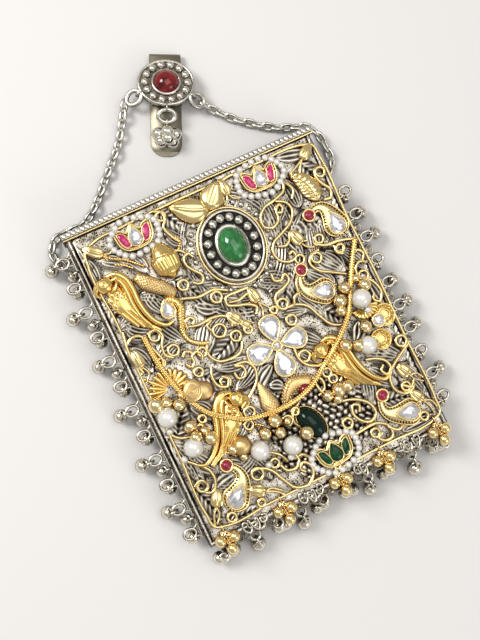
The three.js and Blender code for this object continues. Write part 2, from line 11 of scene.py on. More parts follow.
import bmesh
import bpy
import numpy as np
from mathutils import Matrix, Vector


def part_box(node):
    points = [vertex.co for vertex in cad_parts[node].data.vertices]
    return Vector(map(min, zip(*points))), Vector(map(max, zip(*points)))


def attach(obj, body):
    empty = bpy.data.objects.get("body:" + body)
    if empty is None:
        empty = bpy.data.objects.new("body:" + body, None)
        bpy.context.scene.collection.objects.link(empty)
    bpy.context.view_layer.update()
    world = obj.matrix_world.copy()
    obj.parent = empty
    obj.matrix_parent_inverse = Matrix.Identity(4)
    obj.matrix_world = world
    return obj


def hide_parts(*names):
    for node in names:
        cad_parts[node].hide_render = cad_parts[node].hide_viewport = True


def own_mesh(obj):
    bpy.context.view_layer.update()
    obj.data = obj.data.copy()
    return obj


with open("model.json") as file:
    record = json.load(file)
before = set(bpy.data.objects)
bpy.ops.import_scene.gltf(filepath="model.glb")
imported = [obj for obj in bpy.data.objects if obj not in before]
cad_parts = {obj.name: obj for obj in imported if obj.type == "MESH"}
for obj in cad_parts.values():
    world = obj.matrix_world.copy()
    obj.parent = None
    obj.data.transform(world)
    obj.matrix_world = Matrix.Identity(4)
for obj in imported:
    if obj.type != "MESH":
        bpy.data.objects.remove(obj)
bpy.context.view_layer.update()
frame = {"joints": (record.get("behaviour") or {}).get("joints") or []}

# Units, directions and what counts as one point when grids are merged, in metres
MM = 0.001
UP = np.array([0.0, 0.0, 1.0])
EAST = np.array([1.0, 0.0, 0.0])
NORTH = np.array([0.0, 1.0, 0.0])
FULL = 2 * np.pi
CREASE = np.radians(62)
SAME_POINT = 2e-6
SLIVER = 1e-7


def box_mm(node):
    """Lowest and highest corner of a CAD node in millimetres."""
    low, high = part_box(node)
    return np.array(low) / MM, np.array(high) / MM


def middle_mm(node):
    """Middle of a CAD node's box in millimetres."""
    return sum(box_mm(node)) / 2


# Middles of the panel and the case, from the CAD
PLATE_LOW, PLATE_HIGH = box_mm("front_plate")
FRAME_MIDDLE = middle_mm("filigree_frame")
PANEL = np.array([*FRAME_MIDDLE[:2], PLATE_HIGH[2]])
CASE = np.array([(PLATE_LOW[0] + PLATE_HIGH[0]) / 2, PANEL[1], 0.0])
FRAME_LEVEL = FRAME_MIDDLE[2] - PANEL[2]
FRAME_BOTTOM = -66.5


def unit(vectors):
    """Vectors brought to length one along the last axis."""
    length = np.linalg.norm(vectors, axis=-1, keepdims=True)
    return vectors / np.maximum(length, 1e-9)


def direction_of(path):
    """Direction of a line at each of its points."""
    return unit(np.gradient(path, axis=0))


def solid_of(points):
    """Points of a plane get height nought; points of space stay."""
    points = np.asarray(points, float)
    if points.shape[-1] == 3:
        return points
    return np.concatenate([points, np.zeros(points.shape[:-1] + (1,))], -1)


def through(points, step=0.4):
    """Smooth line through points: between two of them a cubic whose slope at each is the slope of the
    line between its neighbours, sampled about every step."""
    p = solid_of(points)
    t = np.concatenate([[0], np.cumsum(np.linalg.norm(np.diff(p, axis=0), axis=1))])
    slope = np.gradient(p, t, axis=0)
    s = np.linspace(0, t[-1], max(int(t[-1] / step), 3) + 1)
    i = np.clip(np.searchsorted(t, s, side="right") - 1, 0, len(p) - 2)
    h = (t[i + 1] - t[i])[:, None]
    u = (s - t[i])[:, None] / h
    start = (2 * u**3 - 3 * u**2 + 1) * p[i] + (u**3 - 2 * u**2 + u) * h * slope[i]
    end = (3 * u**2 - 2 * u**3) * p[i + 1] + (u**3 - u**2) * h * slope[i + 1]
    return start + end


def closed_through(points, step=0.5):
    """Smooth closed line through points of the plane; its last point repeats its first."""
    laps = through([*points, *points, *points, points[0]], step)[:, :2]
    third = len(laps) // 3
    return np.concatenate([laps[third : 2 * third], laps[third : third + 1]])


def spaced(path, pitch):
    """Points at equal steps of about one pitch along a line."""
    t = np.concatenate([[0], np.cumsum(np.linalg.norm(np.diff(path, axis=0), axis=1))])
    s = np.linspace(0, t[-1], max(int(round(t[-1] / pitch)), 1) + 1)
    return np.stack([np.interp(s, t, path[:, k]) for k in range(3)], -1)


def lifted(points, height):
    """The same line at a height above the sheet, one for all points or one for each."""
    p = solid_of(points).copy()
    p[..., 2] += height
    return p


def turned(points, degrees, shift, mirror=1):
    """Plane points mirrored in x, turned about the origin and shifted; heights stay."""
    p = np.array(points, float)
    a = np.radians(degrees)
    x, y = mirror * p[..., 0].copy(), p[..., 1].copy()
    p[..., 0] = x * np.cos(a) - y * np.sin(a) + shift[0]
    p[..., 1] = x * np.sin(a) + y * np.cos(a) + shift[1]
    return p


def oval(rx, ry, count, middle=(0, 0)):
    """Closed ellipse in the plane."""
    a = np.linspace(0, FULL, count)
    return np.stack([rx * np.cos(a), ry * np.sin(a)], -1) + middle


def ring_of(centre, radii, count, height):
    """Points at equal angles on an ellipse, at one height."""
    a = np.linspace(0, FULL, count + 1)[:-1]
    x, y = centre[0] + radii[0] * np.cos(a), centre[1] + radii[1] * np.sin(a)
    return np.stack([x, y, 0 * a + height], -1)


def profile(path, shares, radii):
    """Radius at each point of a line, from radii at shares of the way along it."""
    return np.interp(np.linspace(0, 1, len(path)), shares, radii)


def teardrop(length, width, count=33):
    """Closed tear with its point on the origin, lying along +X: x goes as 1 - cos a, y as sin a times sin
    a/2."""
    a = np.linspace(0, FULL, count)
    widest = 0.7698
    return np.stack([length * (1 - np.cos(a)) / 2, width / 2 * np.sin(a) * np.sin(a / 2) / widest], -1)


def unit_ball(rows, cols):
    """Latitudes, longitudes and points of a ball of radius one."""
    lat = np.linspace(-np.pi / 2, np.pi / 2, rows)[:, None]
    lon = np.linspace(0, FULL, cols)[None]
    points = [np.cos(lat) * np.cos(lon), np.cos(lat) * np.sin(lon), np.sin(lat) + 0 * lon]
    return lat, lon, np.stack(points, -1)


def balls(centres, radii, rows, cols):
    """A ball at each centre: latitude by longitude."""
    centres = np.atleast_2d(np.asarray(centres, float))
    radii = np.broadcast_to(np.asarray(radii, float).reshape(-1, 1, 1, 1), (len(centres), 1, 1, 1))
    return centres[:, None, None] + radii * unit_ball(rows, cols)[2]


def tube(path, wide, high=None, sides=8, across=None, ribs=0, rib_depth=0.0):
    """Oval section carried along a line and closed at both ends; wide lies across the line in the plane,
    high stands up from it, and ribs run along it."""
    path = solid_of(path)
    wide = np.broadcast_to(np.asarray(wide, float), len(path))[:, None, None]
    high = wide if high is None else np.broadcast_to(np.asarray(high, float), len(path))[:, None, None]
    along = direction_of(path)
    if across is None:
        across = unit(np.cross(UP, along) + 1e-6)
    across = np.broadcast_to(across, path.shape)
    up = np.cross(along, across)
    a = np.linspace(0, FULL, sides + 1)[None, :, None]
    depth = np.broadcast_to(np.asarray(rib_depth, float), len(path))[:, None, None]
    swell = 1 + depth * np.cos(ribs * a)
    ring = swell * (np.cos(a) * wide * across[:, None] + np.sin(a) * high * up[:, None])
    ends = np.repeat(path[[0, -1], None], sides + 1, 1)
    return np.concatenate([ends[:1], path[:, None] + ring, ends[1:]])


def bar(path, wide, high, across):
    """Rectangle with rounded edges carried along a line; wide and high are its half sizes, wide along
    across."""
    path = solid_of(path)
    corner = 0.15
    along = direction_of(path)
    up = np.cross(along, np.broadcast_to(across, path.shape))
    a = np.linspace(0, FULL, 13)[:-1] + FULL / 24
    right, top = np.sign(np.cos(a)), np.sign(np.sin(a))
    u = right * (wide - corner) + corner * np.cos(a)
    v = top * (high - corner) + corner * np.sin(a)
    u, v = np.append(u, u[0])[None, :, None], np.append(v, v[0])[None, :, None]
    ring = path[:, None] + u * np.asarray(across, float) + v * up[:, None]
    ends = np.repeat(path[[0, -1], None], 13, 1)
    return np.concatenate([ends[:1], ring, ends[1:]])


def hoop(outline, radius, sides=8):
    """Round section carried along a closed line, whose last point repeats its first."""
    path = solid_of(outline)[:-1]
    along = unit(np.roll(path, -1, 0) - np.roll(path, 1, 0))
    across = unit(np.cross(UP, along))
    up = np.cross(along, across)
    a = np.linspace(0, FULL, sides + 1)[None, :, None]
    rings = path[:, None] + np.cos(a) * radius * across[:, None] + np.sin(a) * radius * up[:, None]
    return np.concatenate([rings, rings[:1]])


def torus(centre, radius, wire, u=EAST, v=NORTH, rows=21, sides=8):
    """Ring of round wire in the plane of the directions u and v."""
    u, v = unit(np.asarray(u, float)), unit(np.asarray(v, float))
    normal = np.cross(u, v)
    a = np.linspace(0, FULL, rows)[:, None, None]
    b = np.linspace(0, FULL, sides)[None, :, None]
    out = np.cos(a) * u + np.sin(a) * v
    return np.asarray(centre, float) + (radius + wire * np.cos(b)) * out + wire * np.sin(b) * normal


def dome(outline, base, height, rings=7):
    """Cushion over a closed outline: it shrinks towards its hub as the cosine and rises as the sine of a
    quarter turn; its underside is flat."""
    hub = outline[:-1].mean(0)
    a = np.linspace(0, np.pi / 2, rings)[:, None, None]
    plan = hub + np.cos(a) * (outline - hub)
    rise = np.broadcast_to(base + height * np.sin(a), plan.shape[:2] + (1,))
    top = np.concatenate([plan, rise], -1)
    under = np.broadcast_to([*hub, base], top[:1].shape)
    return np.concatenate([under, top])


def stepped(outline, levels):
    """Closed body over an outline: each level is a pair of share of the outline and height, from the rim
    in."""
    hub = outline[:-1].mean(0)
    rows = [lifted(hub + share * (outline - hub), z) for share, z in levels]
    low = np.broadcast_to([*hub, levels[0][1]], rows[0].shape)
    high = np.broadcast_to([*hub, levels[-1][1]], rows[0].shape)
    return np.stack([low, *rows, high])


def leaf(path, width, base, height, veins, depth):
    """Leaf along a line: its half width goes as the sine of the way along it, skewed to the stalk, its
    top is arched across, with slanted veins and a sunk midrib, and its underside is flat."""
    path = solid_of(path)
    t = np.linspace(0, 1, len(path))[:, None]
    s = np.linspace(-1, 1, 25)[None]
    half = width / 2 * np.sin(np.pi * np.clip(t, 0.001, 0.999) ** 0.75) ** 0.8
    along = direction_of(path)
    across = unit(np.cross(UP, along))
    arch = (1 - np.abs(s) ** 2.2) ** 0.6
    vein = depth * np.cos(FULL * veins * (t - 0.13 * np.abs(s))) * np.minimum(1, 3 * np.abs(s)) * arch
    midrib = -0.8 * depth * np.exp(-((s / 0.1) ** 2))
    taper = np.minimum(1, 6 * np.minimum(t, 1 - t)) ** 0.5
    z = base + (height * arch + vein + midrib) * taper
    plan = path[:, None, :2] + s[..., None] * half[..., None] * across[:, None, :2]
    top = np.concatenate([plan, z[..., None]], -1)
    under = np.concatenate([plan[:, ::-1], np.full(plan.shape[:2] + (1,), base)], -1)
    sheet = np.concatenate([top, under, top[:, :1]], 1)
    ends = [np.broadcast_to(sheet[k].mean(0), sheet[0].shape)[None] for k in (0, -1)]
    return np.concatenate([ends[0], sheet, ends[1]])


def ended_round(path, radius):
    """A line and its radius carried on past both ends by quarter circles, so that a tube along it ends
    round."""
    path = solid_of(path)
    radius = np.broadcast_to(np.asarray(radius, float), len(path))
    along = direction_of(path)
    a = np.linspace(np.pi / 2, 0, 6)[:-1, None]
    first = path[0] - np.sin(a) * radius[0] * along[0]
    last = path[-1] + np.sin(a[::-1]) * radius[-1] * along[-1]
    ends = np.cos(a[:, 0]) + 0.02
    girth = np.concatenate([radius[0] * ends, radius, radius[-1] * ends[::-1]])
    return np.concatenate([first, path, last]), girth


def sides_of(path, radius, share):
    """Closed line around a band at a share of its radius."""
    along = direction_of(path)
    across = unit(np.cross(UP, along))
    reach = share * radius[:, None] * across
    return np.concatenate([path + reach, (path - reach)[::-1], (path + reach)[:1]])


def rose_cut(outline, base, height):
    """Facetted stone over an outline of few sides: girdle and crown rows, each row turned by half a side
    from the one below so that the facets between them are kites."""
    hub = outline[:-1].mean(0)
    between = (outline[:-1] + outline[1:]) / 2
    between = np.concatenate([between, between[:1]])
    rows = [outline, outline, between, outline, between]
    shares, rises = (1, 1, 0.84, 0.58, 0.24), (0, 0.18, 0.6, 0.9, 1)
    crown = []
    for row, share, rise in zip(rows, shares, rises):
        crown.append(lifted(hub + share * (row - hub), base + rise * height))
    low, high = ([*hub, z] for z in (base, base + height))
    return np.stack([np.broadcast_to(low, crown[0].shape), *crown, np.broadcast_to(high, crown[0].shape)])


def round_stone(x, y, radius, base):
    """Low domed stone over a circle."""
    return dome(oval(radius, radius, 21, (x, y)), base, 0.75 * radius, 5)


def make(
    name, surfaces, finish, body="bag", origin=PANEL, stands_for=(), smooth=True, marks=None
):
    """One object out of grids of points: neighbouring points are joined by four-sided faces, points that
    fall together are merged, and faces are turned outwards. Marks are numbers for every point, by
    name; the facing mark is how far each point's surface faces up, from which the metal and pearl
    finishes paint shade on sides and undersides."""
    points, quads, start = [], [], 0
    for surface in surfaces:
        rows, cols = surface.shape[-3:-1]
        grids = surface.reshape(-1, rows * cols, 3)
        index = np.arange(rows * cols).reshape(rows, cols)
        corners = [index[:-1, :-1], index[:-1, 1:], index[1:, 1:], index[1:, :-1]]
        quad = np.stack(corners, -1).reshape(-1, 4)
        shift = start + rows * cols * np.arange(len(grids))
        quads.append((quad[None] + shift[:, None, None]).reshape(-1, 4))
        points.append(grids.reshape(-1, 3))
        start += grids.shape[0] * rows * cols
    mesh = bpy.data.meshes.new(name)
    mesh.from_pydata((np.concatenate(points) + origin) * MM, [], np.concatenate(quads))
    for mark, values in (marks or {}).items():
        mesh.attributes.new(mark, "FLOAT", "POINT").data.foreach_set("value", np.ravel(values))
    shell = bmesh.new()
    shell.from_mesh(mesh)
    bmesh.ops.remove_doubles(shell, verts=shell.verts, dist=SAME_POINT)
    bmesh.ops.dissolve_degenerate(shell, edges=shell.edges, dist=SLIVER)
    bmesh.ops.recalc_face_normals(shell, faces=shell.faces)
    shell.to_mesh(mesh)
    shell.free()
    normals = np.empty(3 * len(mesh.vertices), np.float32)
    mesh.vertices.foreach_get("normal", normals)
    # Facing mark: the finishes use it to paint shade where a surface faces sideways or down
    mesh.attributes.new("facing", "FLOAT", "POINT").data.foreach_set("value", normals[2::3].copy())
    mesh.polygons.foreach_set("use_smooth", np.full(len(mesh.polygons), smooth))
    if smooth:
        mesh.set_sharp_from_angle(angle=CREASE)
    mesh.materials.append(finish)
    piece = bpy.data.objects.new(name, mesh)
    bpy.context.scene.collection.objects.link(piece)
    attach(piece, body)
    if stands_for:
        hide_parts(*stands_for)
    return piece


# Finishes: scales are waves a metre, grain depth in metres
WEAR_SCALE = 420.0
PATCH_SCALE = 330.0
TARNISH_SCALE = 150.0
PUNCH_SCALE = 1150.0
GRAIN_DEPTH = 0.0002


def new_finish(name, colour, metallic, roughness, **sockets):
    """Material with one shader; further sockets are given by name."""
    material = bpy.data.materials.new(name)
    material.use_nodes = True
    shader = shader_of(material)
    shader.inputs["Base Color"].default_value = (*colour, 1)
    shader.inputs["Metallic"].default_value = metallic
    shader.inputs["Roughness"].default_value = roughness
    for socket, value in sockets.items():
        shader.inputs[socket.replace("_", " ")].default_value = value
    return material


def add_node(material, kind, **settings):
    """A node with its settings; a setting named like an input fills that input."""
    node = material.node_tree.nodes.new(kind)
    for key, value in settings.items():
        if key in node.inputs:
            node.inputs[key].default_value = value
        else:
            setattr(node, key, value)
    return node


def join(material, output, target):
    """Link from one node to another."""
    material.node_tree.links.new(output, target)


def shader_of(material):
    """The material's one shader."""
    return material.node_tree.nodes["Principled BSDF"]


def coloured(material, value, stops):
    """Base colour from a ramp fed by a value; stops are pairs of place and colour."""
    ramp = add_node(material, "ShaderNodeValToRGB")
    while len(ramp.color_ramp.elements) < len(stops):
        ramp.color_ramp.elements.new(0.5)
    for element, (place, colour) in zip(ramp.color_ramp.elements, stops):
        element.position = place
        element.color = (*colour, 1)
    join(material, value, ramp.inputs["Fac"])
    join(material, ramp.outputs["Color"], shader_of(material).inputs["Base Color"])


def noise_of(material, scale, detail=3.0, distortion=0.0):
    """Noise on the object's own coordinates."""
    place = add_node(material, "ShaderNodeTexCoord")
    noise = add_node(material, "ShaderNodeTexNoise", Scale=scale, Detail=detail, Distortion=distortion)
    join(material, place.outputs["Object"], noise.inputs["Vector"])
    return noise.outputs["Fac"]


def spread_of(material, value, low, high, start=0.0, end=1.0):
    """Value brought from the range start to end into the range low to high."""
    limits = {"From Min": start, "From Max": end, "To Min": low, "To Max": high}
    spread = add_node(material, "ShaderNodeMapRange", **limits)
    join(material, value, spread.inputs["Value"])
    return spread.outputs["Result"]


def reckoned(material, operation, first, second):
    """Two values put together by one operation."""
    node = add_node(material, "ShaderNodeMath", operation=operation)
    join(material, first, node.inputs[0])
    join(material, second, node.inputs[1])
    return node.outputs["Value"]


def bumped(material, height, strength):
    """Bump from a value."""
    bump = add_node(material, "ShaderNodeBump", Strength=strength, Distance=GRAIN_DEPTH)
    join(material, height, bump.inputs["Height"])
    join(material, bump.outputs["Normal"], shader_of(material).inputs["Normal"])


def roughened(material, scale, low, high):
    """Roughness that wanders between two values."""
    spread = spread_of(material, noise_of(material, scale), low, high)
    join(material, spread, shader_of(material).inputs["Roughness"])


def grained(material, scale, strength):
    """Fine grain by bump."""
    bumped(material, noise_of(material, scale, 2.0), strength)


def painted_side_shade(material, bright, dark, wander, low=0.42, high=0.84):
    """Painted shade: colour that goes from dark to bright between two levels of a piece's own facing
    mark (brought to 0 for facing down and 1 for facing up), so that sides and undersides look shaded
    as if lit from above, with patches that wander by noise."""
    facing = add_node(material, "ShaderNodeAttribute", attribute_name="facing")
    share = spread_of(material, facing.outputs["Fac"], 0.0, 1.0, -1.0, 1.0)
    patch = spread_of(material, noise_of(material, PATCH_SCALE, 4.0), -wander, wander)
    coloured(material, reckoned(material, "ADD", share, patch), [(low, dark), (high, bright)])


def side_shaded_metal(name, bright, dark, polished, dull, wander=0.35, **levels):
    """Metal with painted shade: bright where it faces up and darkened on its sides and underside as if
    lit from above, partly standing for patina there, with roughness between two values."""
    material = new_finish(name, bright, 1.0, polished)
    painted_side_shade(material, bright, dark, wander, **levels)
    roughened(material, WEAR_SCALE, polished, dull)
    return material


def embossed_finish():
    """Embossed silver: black in the hollows, bright on the ridges, by the sheet's own tone; where the
    sheet is marked as ground, rows of punched dots darken it."""
    material = new_finish("embossed_silver", (0.6, 0.57, 0.52), 1.0, 0.36)
    tone = add_node(material, "ShaderNodeAttribute", attribute_name="tone")
    ground = add_node(material, "ShaderNodeAttribute", attribute_name="ground")
    place = add_node(material, "ShaderNodeTexCoord")
    dots = add_node(material, "ShaderNodeTexVoronoi", Scale=PUNCH_SCALE, Randomness=0.7)
    join(material, place.outputs["Object"], dots.inputs["Vector"])
    punch = spread_of(material, dots.outputs["Distance"], 0.6, 0.0, 0.2, 0.46)
    depth = reckoned(material, "MULTIPLY", punch, ground.outputs["Fac"])
    level = reckoned(material, "SUBTRACT", tone.outputs["Fac"], depth)
    tarnish = spread_of(material, noise_of(material, TARNISH_SCALE, 4.0), -0.34, 0.34)
    black, shade = (0.01, 0.0085, 0.007), (0.07, 0.06, 0.046)
    worn, bright = (0.35, 0.31, 0.24), (0.88, 0.82, 0.71)
    stops = [(0.16, black), (0.38, shade), (0.57, worn), (0.86, bright)]
    coloured(material, reckoned(material, "ADD", level, tarnish), stops)
    bumped(material, level, 0.5)
    return material


def clouded(name, stops, scale, roughness, **sockets):
    """Polished stone with clouded colour."""
    material = new_finish(name, stops[0][1], 0.0, roughness, **sockets)
    coloured(material, noise_of(material, scale, 6.0, 1.2), stops)
    return material


# These metal finishes carry painted shade: their second colour darkens sides and undersides, their first
# is the lit top
SILVER = side_shaded_metal("side_shaded_silver", (0.74, 0.7, 0.62), (0.07, 0.06, 0.047), 0.2, 0.38)
CHAIN_SILVER = side_shaded_metal("chain_silver", (0.8, 0.765, 0.68), (0.1, 0.088, 0.07), 0.2, 0.34, 0.2)
EDGE_SILVER = side_shaded_metal(
    "edge_silver", (0.74, 0.68, 0.555), (0.05, 0.042, 0.03), 0.18, 0.34, low=0.5, high=0.88
)
BELL_SILVER = side_shaded_metal(
    "bell_silver", (0.88, 0.82, 0.68), (0.13, 0.105, 0.07), 0.16, 0.3, 0.25, low=0.42, high=0.82
)
STRIP_SILVER = side_shaded_metal("strip_silver", (0.29, 0.26, 0.19), (0.085, 0.072, 0.05), 0.32, 0.5)
DARK_SILVER = new_finish("blackened_silver", (0.024, 0.021, 0.018), 0.6, 0.5)
grained(DARK_SILVER, 2400.0, 0.6)
EMBOSSED = embossed_finish()
PALE_SILVER = side_shaded_metal(
    "pale_silver", (0.95, 0.92, 0.8), (0.42, 0.37, 0.25), 0.16, 0.3, 0.12, low=0.34, high=0.76
)
GOLD = side_shaded_metal(
    "pale_gold", (1.0, 0.78, 0.37), (0.3, 0.12, 0.013), 0.14, 0.28, 0.06, low=0.48, high=0.78
)
RICH_GOLD = side_shaded_metal(
    "rich_gold", (1.0, 0.715, 0.255), (0.4, 0.15, 0.012), 0.15, 0.3, 0.06, low=0.45, high=0.84
)
BALL_GOLD = side_shaded_metal(
    "ball_gold", (1.0, 0.8, 0.44), (0.38, 0.18, 0.04), 0.16, 0.3, 0.06, low=0.43, high=0.77
)
MATTE_GOLD = side_shaded_metal(
    "matte_gold", (0.88, 0.63, 0.285), (0.24, 0.095, 0.014), 0.26, 0.4, 0.14, low=0.46, high=0.9
)
grained(MATTE_GOLD, 3200.0, 0.5)
BROWN_GOLD = side_shaded_metal("browned_gold", (0.2, 0.1, 0.025), (0.06, 0.03, 0.008), 0.4, 0.6)
PEARL = new_finish("pearl", (0.8, 0.765, 0.7), 0.2, 0.2, Coat_Weight=1.0, Coat_Roughness=0.06)
# Pearl shading is painted: darker towards its sides and bright on top, as if lit from above
painted_side_shade(PEARL, (0.9, 0.87, 0.805), (0.44, 0.395, 0.32), 0.04, 0.46, 0.92)
JADE_CLOUDS = [(0.3, (0.008, 0.11, 0.02)), (0.55, (0.02, 0.2, 0.045)), (0.78, (0.12, 0.38, 0.15))]
JADE = clouded("jade", JADE_CLOUDS, 220.0, 0.12, Coat_Weight=0.6)
DEEP_GREEN_CLOUDS = [(0.4, (0.001, 0.009, 0.006)), (0.7, (0.004, 0.026, 0.016))]
DEEP_GREEN = clouded("deep_green", DEEP_GREEN_CLOUDS, 160.0, 0.1, Specular_IOR_Level=0.3)
GARNET_CLOUDS = [(0.35, (0.07, 0.002, 0.002)), (0.7, (0.32, 0.012, 0.01))]
GARNET = clouded("garnet", GARNET_CLOUDS, 190.0, 0.08, Coat_Weight=0.2)
RUBY_CLOUDS = [(0.35, (0.18, 0.003, 0.018)), (0.65, (0.48, 0.015, 0.066))]
RUBY = clouded("ruby", RUBY_CLOUDS, 700.0, 0.08, Coat_Weight=0.4)
PINK_CLOUDS = [(0.35, (0.42, 0.003, 0.09)), (0.68, (0.74, 0.035, 0.21))]
PINK = clouded("pink_stone", PINK_CLOUDS, 420.0, 0.12, Coat_Weight=0.5)
EMERALD_CLOUDS = [(0.35, (0.001, 0.02, 0.006)), (0.68, (0.005, 0.09, 0.026))]
EMERALD = clouded("emerald", EMERALD_CLOUDS, 420.0, 0.1, Specular_IOR_Level=0.35)
CLEAR_CLOUDS = [(0.36, (0.5, 0.5, 0.53)), (0.6, (0.87, 0.87, 0.865))]
CLEAR = clouded("clear_stone", CLEAR_CLOUDS, 420.0, 0.1, Coat_Weight=1.0)
shader_of(CLEAR).inputs["Metallic"].default_value = 0.52


def relief_leaf(x, y, base, tip, width, height, bend, striped):
    """Height of one embossed leaf over the whole sheet: across the leaf an arch, along it a sine; a
    striped leaf has ridges along its length, another has slanted veins and a sunk midrib; nought
    outside."""
    base, tip = np.array(base, float), np.array(tip, float)
    length = np.linalg.norm(tip - base)
    ux, uy = (tip - base) / length
    t = ((x - base[0]) * ux + (y - base[1]) * uy) / length
    s = (x - base[0]) * -uy + (y - base[1]) * ux - bend * np.sin(np.pi * np.clip(t, 0, 1))
    half = width / 2 * np.sin(np.pi * np.clip(t, 0, 1) ** 0.8) ** 0.7 + 1e-6
    s = s / half
    inside = (t > 0) & (t < 1) & (np.abs(s) < 1)
    arch = np.sqrt(np.clip(1 - s**2, 0, 1))
    vein = 0.14 * np.cos(FULL * (length / 2.6) * (t - 0.2 * np.abs(s))) - 0.3 * np.exp(-((s / 0.14) ** 2))
    ridge = 0.2 * np.cos(FULL * max(round(width / 5.2), 1) * 1.5 * s)
    return np.where(inside, height * (0.5 + 0.5 * arch) + (ridge if striped else vein) * arch, 0)


def ridged_band(x, y, centre, radii, width, start, end, ridges):
    """Height of a band of parallel ridges along part of an ellipse."""
    dx, dy = (x - centre[0]) / radii[0], (y - centre[1]) / radii[1]
    out = (np.hypot(dx, dy) - 1) * min(radii)
    angle = np.degrees(np.arctan2(dy, dx)) % 360
    inside = (out > 0) & (out < width) & ((angle - start) % 360 < (end - start) % 360)
    wave = 0.22 * np.cos(FULL * out * ridges / width)
    arch = np.sqrt(np.clip(1 - (2 * out / width - 1) ** 2, 0, 1))
    return np.where(inside, 0.75 * arch + wave, 0)


def granule_rows(x, y, pitch):
    """Height of rows of small balls of uneven size, every other row shifted by half."""
    row = np.floor(y / (pitch * 0.85))
    shifted = x + 0.5 * pitch * (row % 2)
    size = pitch * (0.47 + 0.06 * np.sin(1.9 * np.floor(shifted / pitch) + 2.7 * row))
    ax = shifted % pitch - pitch / 2
    ay = y - (row + 0.5) * pitch * 0.85
    return 0.95 * np.sqrt(np.clip(1 - (ax**2 + ay**2) / size**2, 0, 1))


def softened(z, times):
    """Each height averaged with its four neighbours, several times over."""
    for _ in range(times):
        edge = np.pad(z, 1, mode="edge")
        z = (z + edge[:-2, 1:-1] + edge[2:, 1:-1] + edge[1:-1, :-2] + edge[1:-1, 2:]) / 5
    return z


# Embossed front: each leaf is foot, tip, width and bend; each band is radii, width, angles and ridges
RELIEF_LEAVES = [
    ((-20, 66), (-12, 53), 8, 1), ((-56, 60), (-55, 46), 7, 0), ((-50, 57), (-40, 50), 8, 1),
    ((-40, 55), (-34, 43), 7, 1), ((-56, 36), (-51, 24), 8, 1), ((-38, 38), (-34, 24), 8, -1),
    ((-32, 36), (-27, 24), 7, 1), ((-53, 28), (-42, 20), 9, -2), ((-26, 36), (-18, 24), 8, 1),
    ((-22, 22), (-12, 17), 6, -1), ((-20, 14), (-30, 1), 9, 1), ((-12, 14), (-24, 4), 7, -2),
    ((-10, 6), (-26, -2), 8, 1), ((-26, -5), (-8, -8), 7, -1), ((-6, -9), (-22, -18), 8, 1),
    ((-3, -14), (-15, -23), 6, -1), ((-34, -4), (-24, -17), 8, 1), ((-46, 8), (-34, 12), 8, 1),
    ((-40, 22), (-32, 10), 8, -1), ((-56, 18), (-50, 4), 8, 1), ((-52, -24), (-44, -14), 9, 1),
    ((-42, -14), (-34, -26), 8, 1), ((-56, -26), (-52, -46), 8, 1), ((-50, -34), (-42, -46), 8, -1),
    ((-56, -46), (-51, -64), 7, 1), ((-44, -44), (-30, -50), 8, 1), ((-48, -50), (-34, -56), 7, -1),
    ((-30, -44), (-24, -58), 7, 1), ((-48, -66), (-32, -66), 5, 0), ((-30, -36), (-20, -29), 7, 1),
    ((-22, -24), (-16, -38), 7, -1), ((6, 20), (20, 12), 7, 1), ((22, 18), (12, 4), 8, -1),
    ((8, 4), (22, 0), 7, 1), ((20, 8), (28, -6), 8, 1), ((12, -6), (22, -16), 8, -1),
    ((24, 0), (34, -12), 8, 1), ((28, 16), (38, 4), 8, 1), ((34, 22), (46, 8), 8, -1),
    ((46, 18), (54, 4), 7, 1), ((42, 36), (30, 34), 8, 1), ((44, 34), (44, 20), 7, -1),
    ((38, 32), (34, 20), 7, 1), ((26, 36), (30, 22), 6, 1), ((46, 60), (52, 44), 8, 1),
    ((38, 66), (54, 62), 6, 0), ((38, 42), (36, 57), 8, -1), ((26, 40), (36, 50), 7, 1),
    ((55, 42), (54, 28), 5, 0), ((52, 0), (54, -16), 6, 1), ((36, -28), (50, -36), 8, 1),
    ((34, -34), (44, -46), 8, -1), ((55, -22), (53, -42), 7, 1), ((32, -36), (28, -50), 7, 1),
    ((24, -30), (24, -42), 7, -1), ((50, -40), (54, -58), 7, 1), ((32, -50), (48, -54), 7, 1),
    ((36, -65), (54, -65), 5, 0), ((-14, 48), (-20, 58), 7, 1), ((16, 58), (28, 50), 7, 1),
    ((-19, 33), (-3, 5), 9, 2), ((24, 54), (22, 30), 8, 2), ((-42, 36), (-32, 27), 9, 3),
    ((-56, 27), (-42, 23), 9, 4), ((30, 35), (46, 29), 9, 3), ((38, 20), (44, 8), 9, 1),
    ((40, -22), (53, -38), 9, -2), ((-57, 66), (-57.5, 40), 5, 0), ((-57, -22), (-51, -48), 8, 1),
    ((-40, -50), (-24, -44), 8, -2), ((-50, -52), (-34, -49), 6, 1), ((8, 22), (22, 10), 8, 2),
    ((22, 48), (27, 38), 6, -1), ((10, -14), (18, -24), 7, 1), ((-8, -22), (-2, -26), 5, 1),
    ((40, -14), (34, -22), 6, 1),
]
RELIEF_BANDS = [
    ((19.4, 22), 4.2, 95, 265, 4), ((18.6, 21), 5.6, 285, 440, 4), ((24.4, 28), 4.4, 185, 262, 3),
    ((26, 30), 4.2, 300, 375, 3),
]
LEAF_RISE = 0.85
LEAF_SPREAD = 1.12
GRANULE_PITCH = 3.1
GRANULE_MIDDLE = (5, -46)
GRANULE_RADII = (25, 19)
BEZEL = np.array([3.5, 39.0])


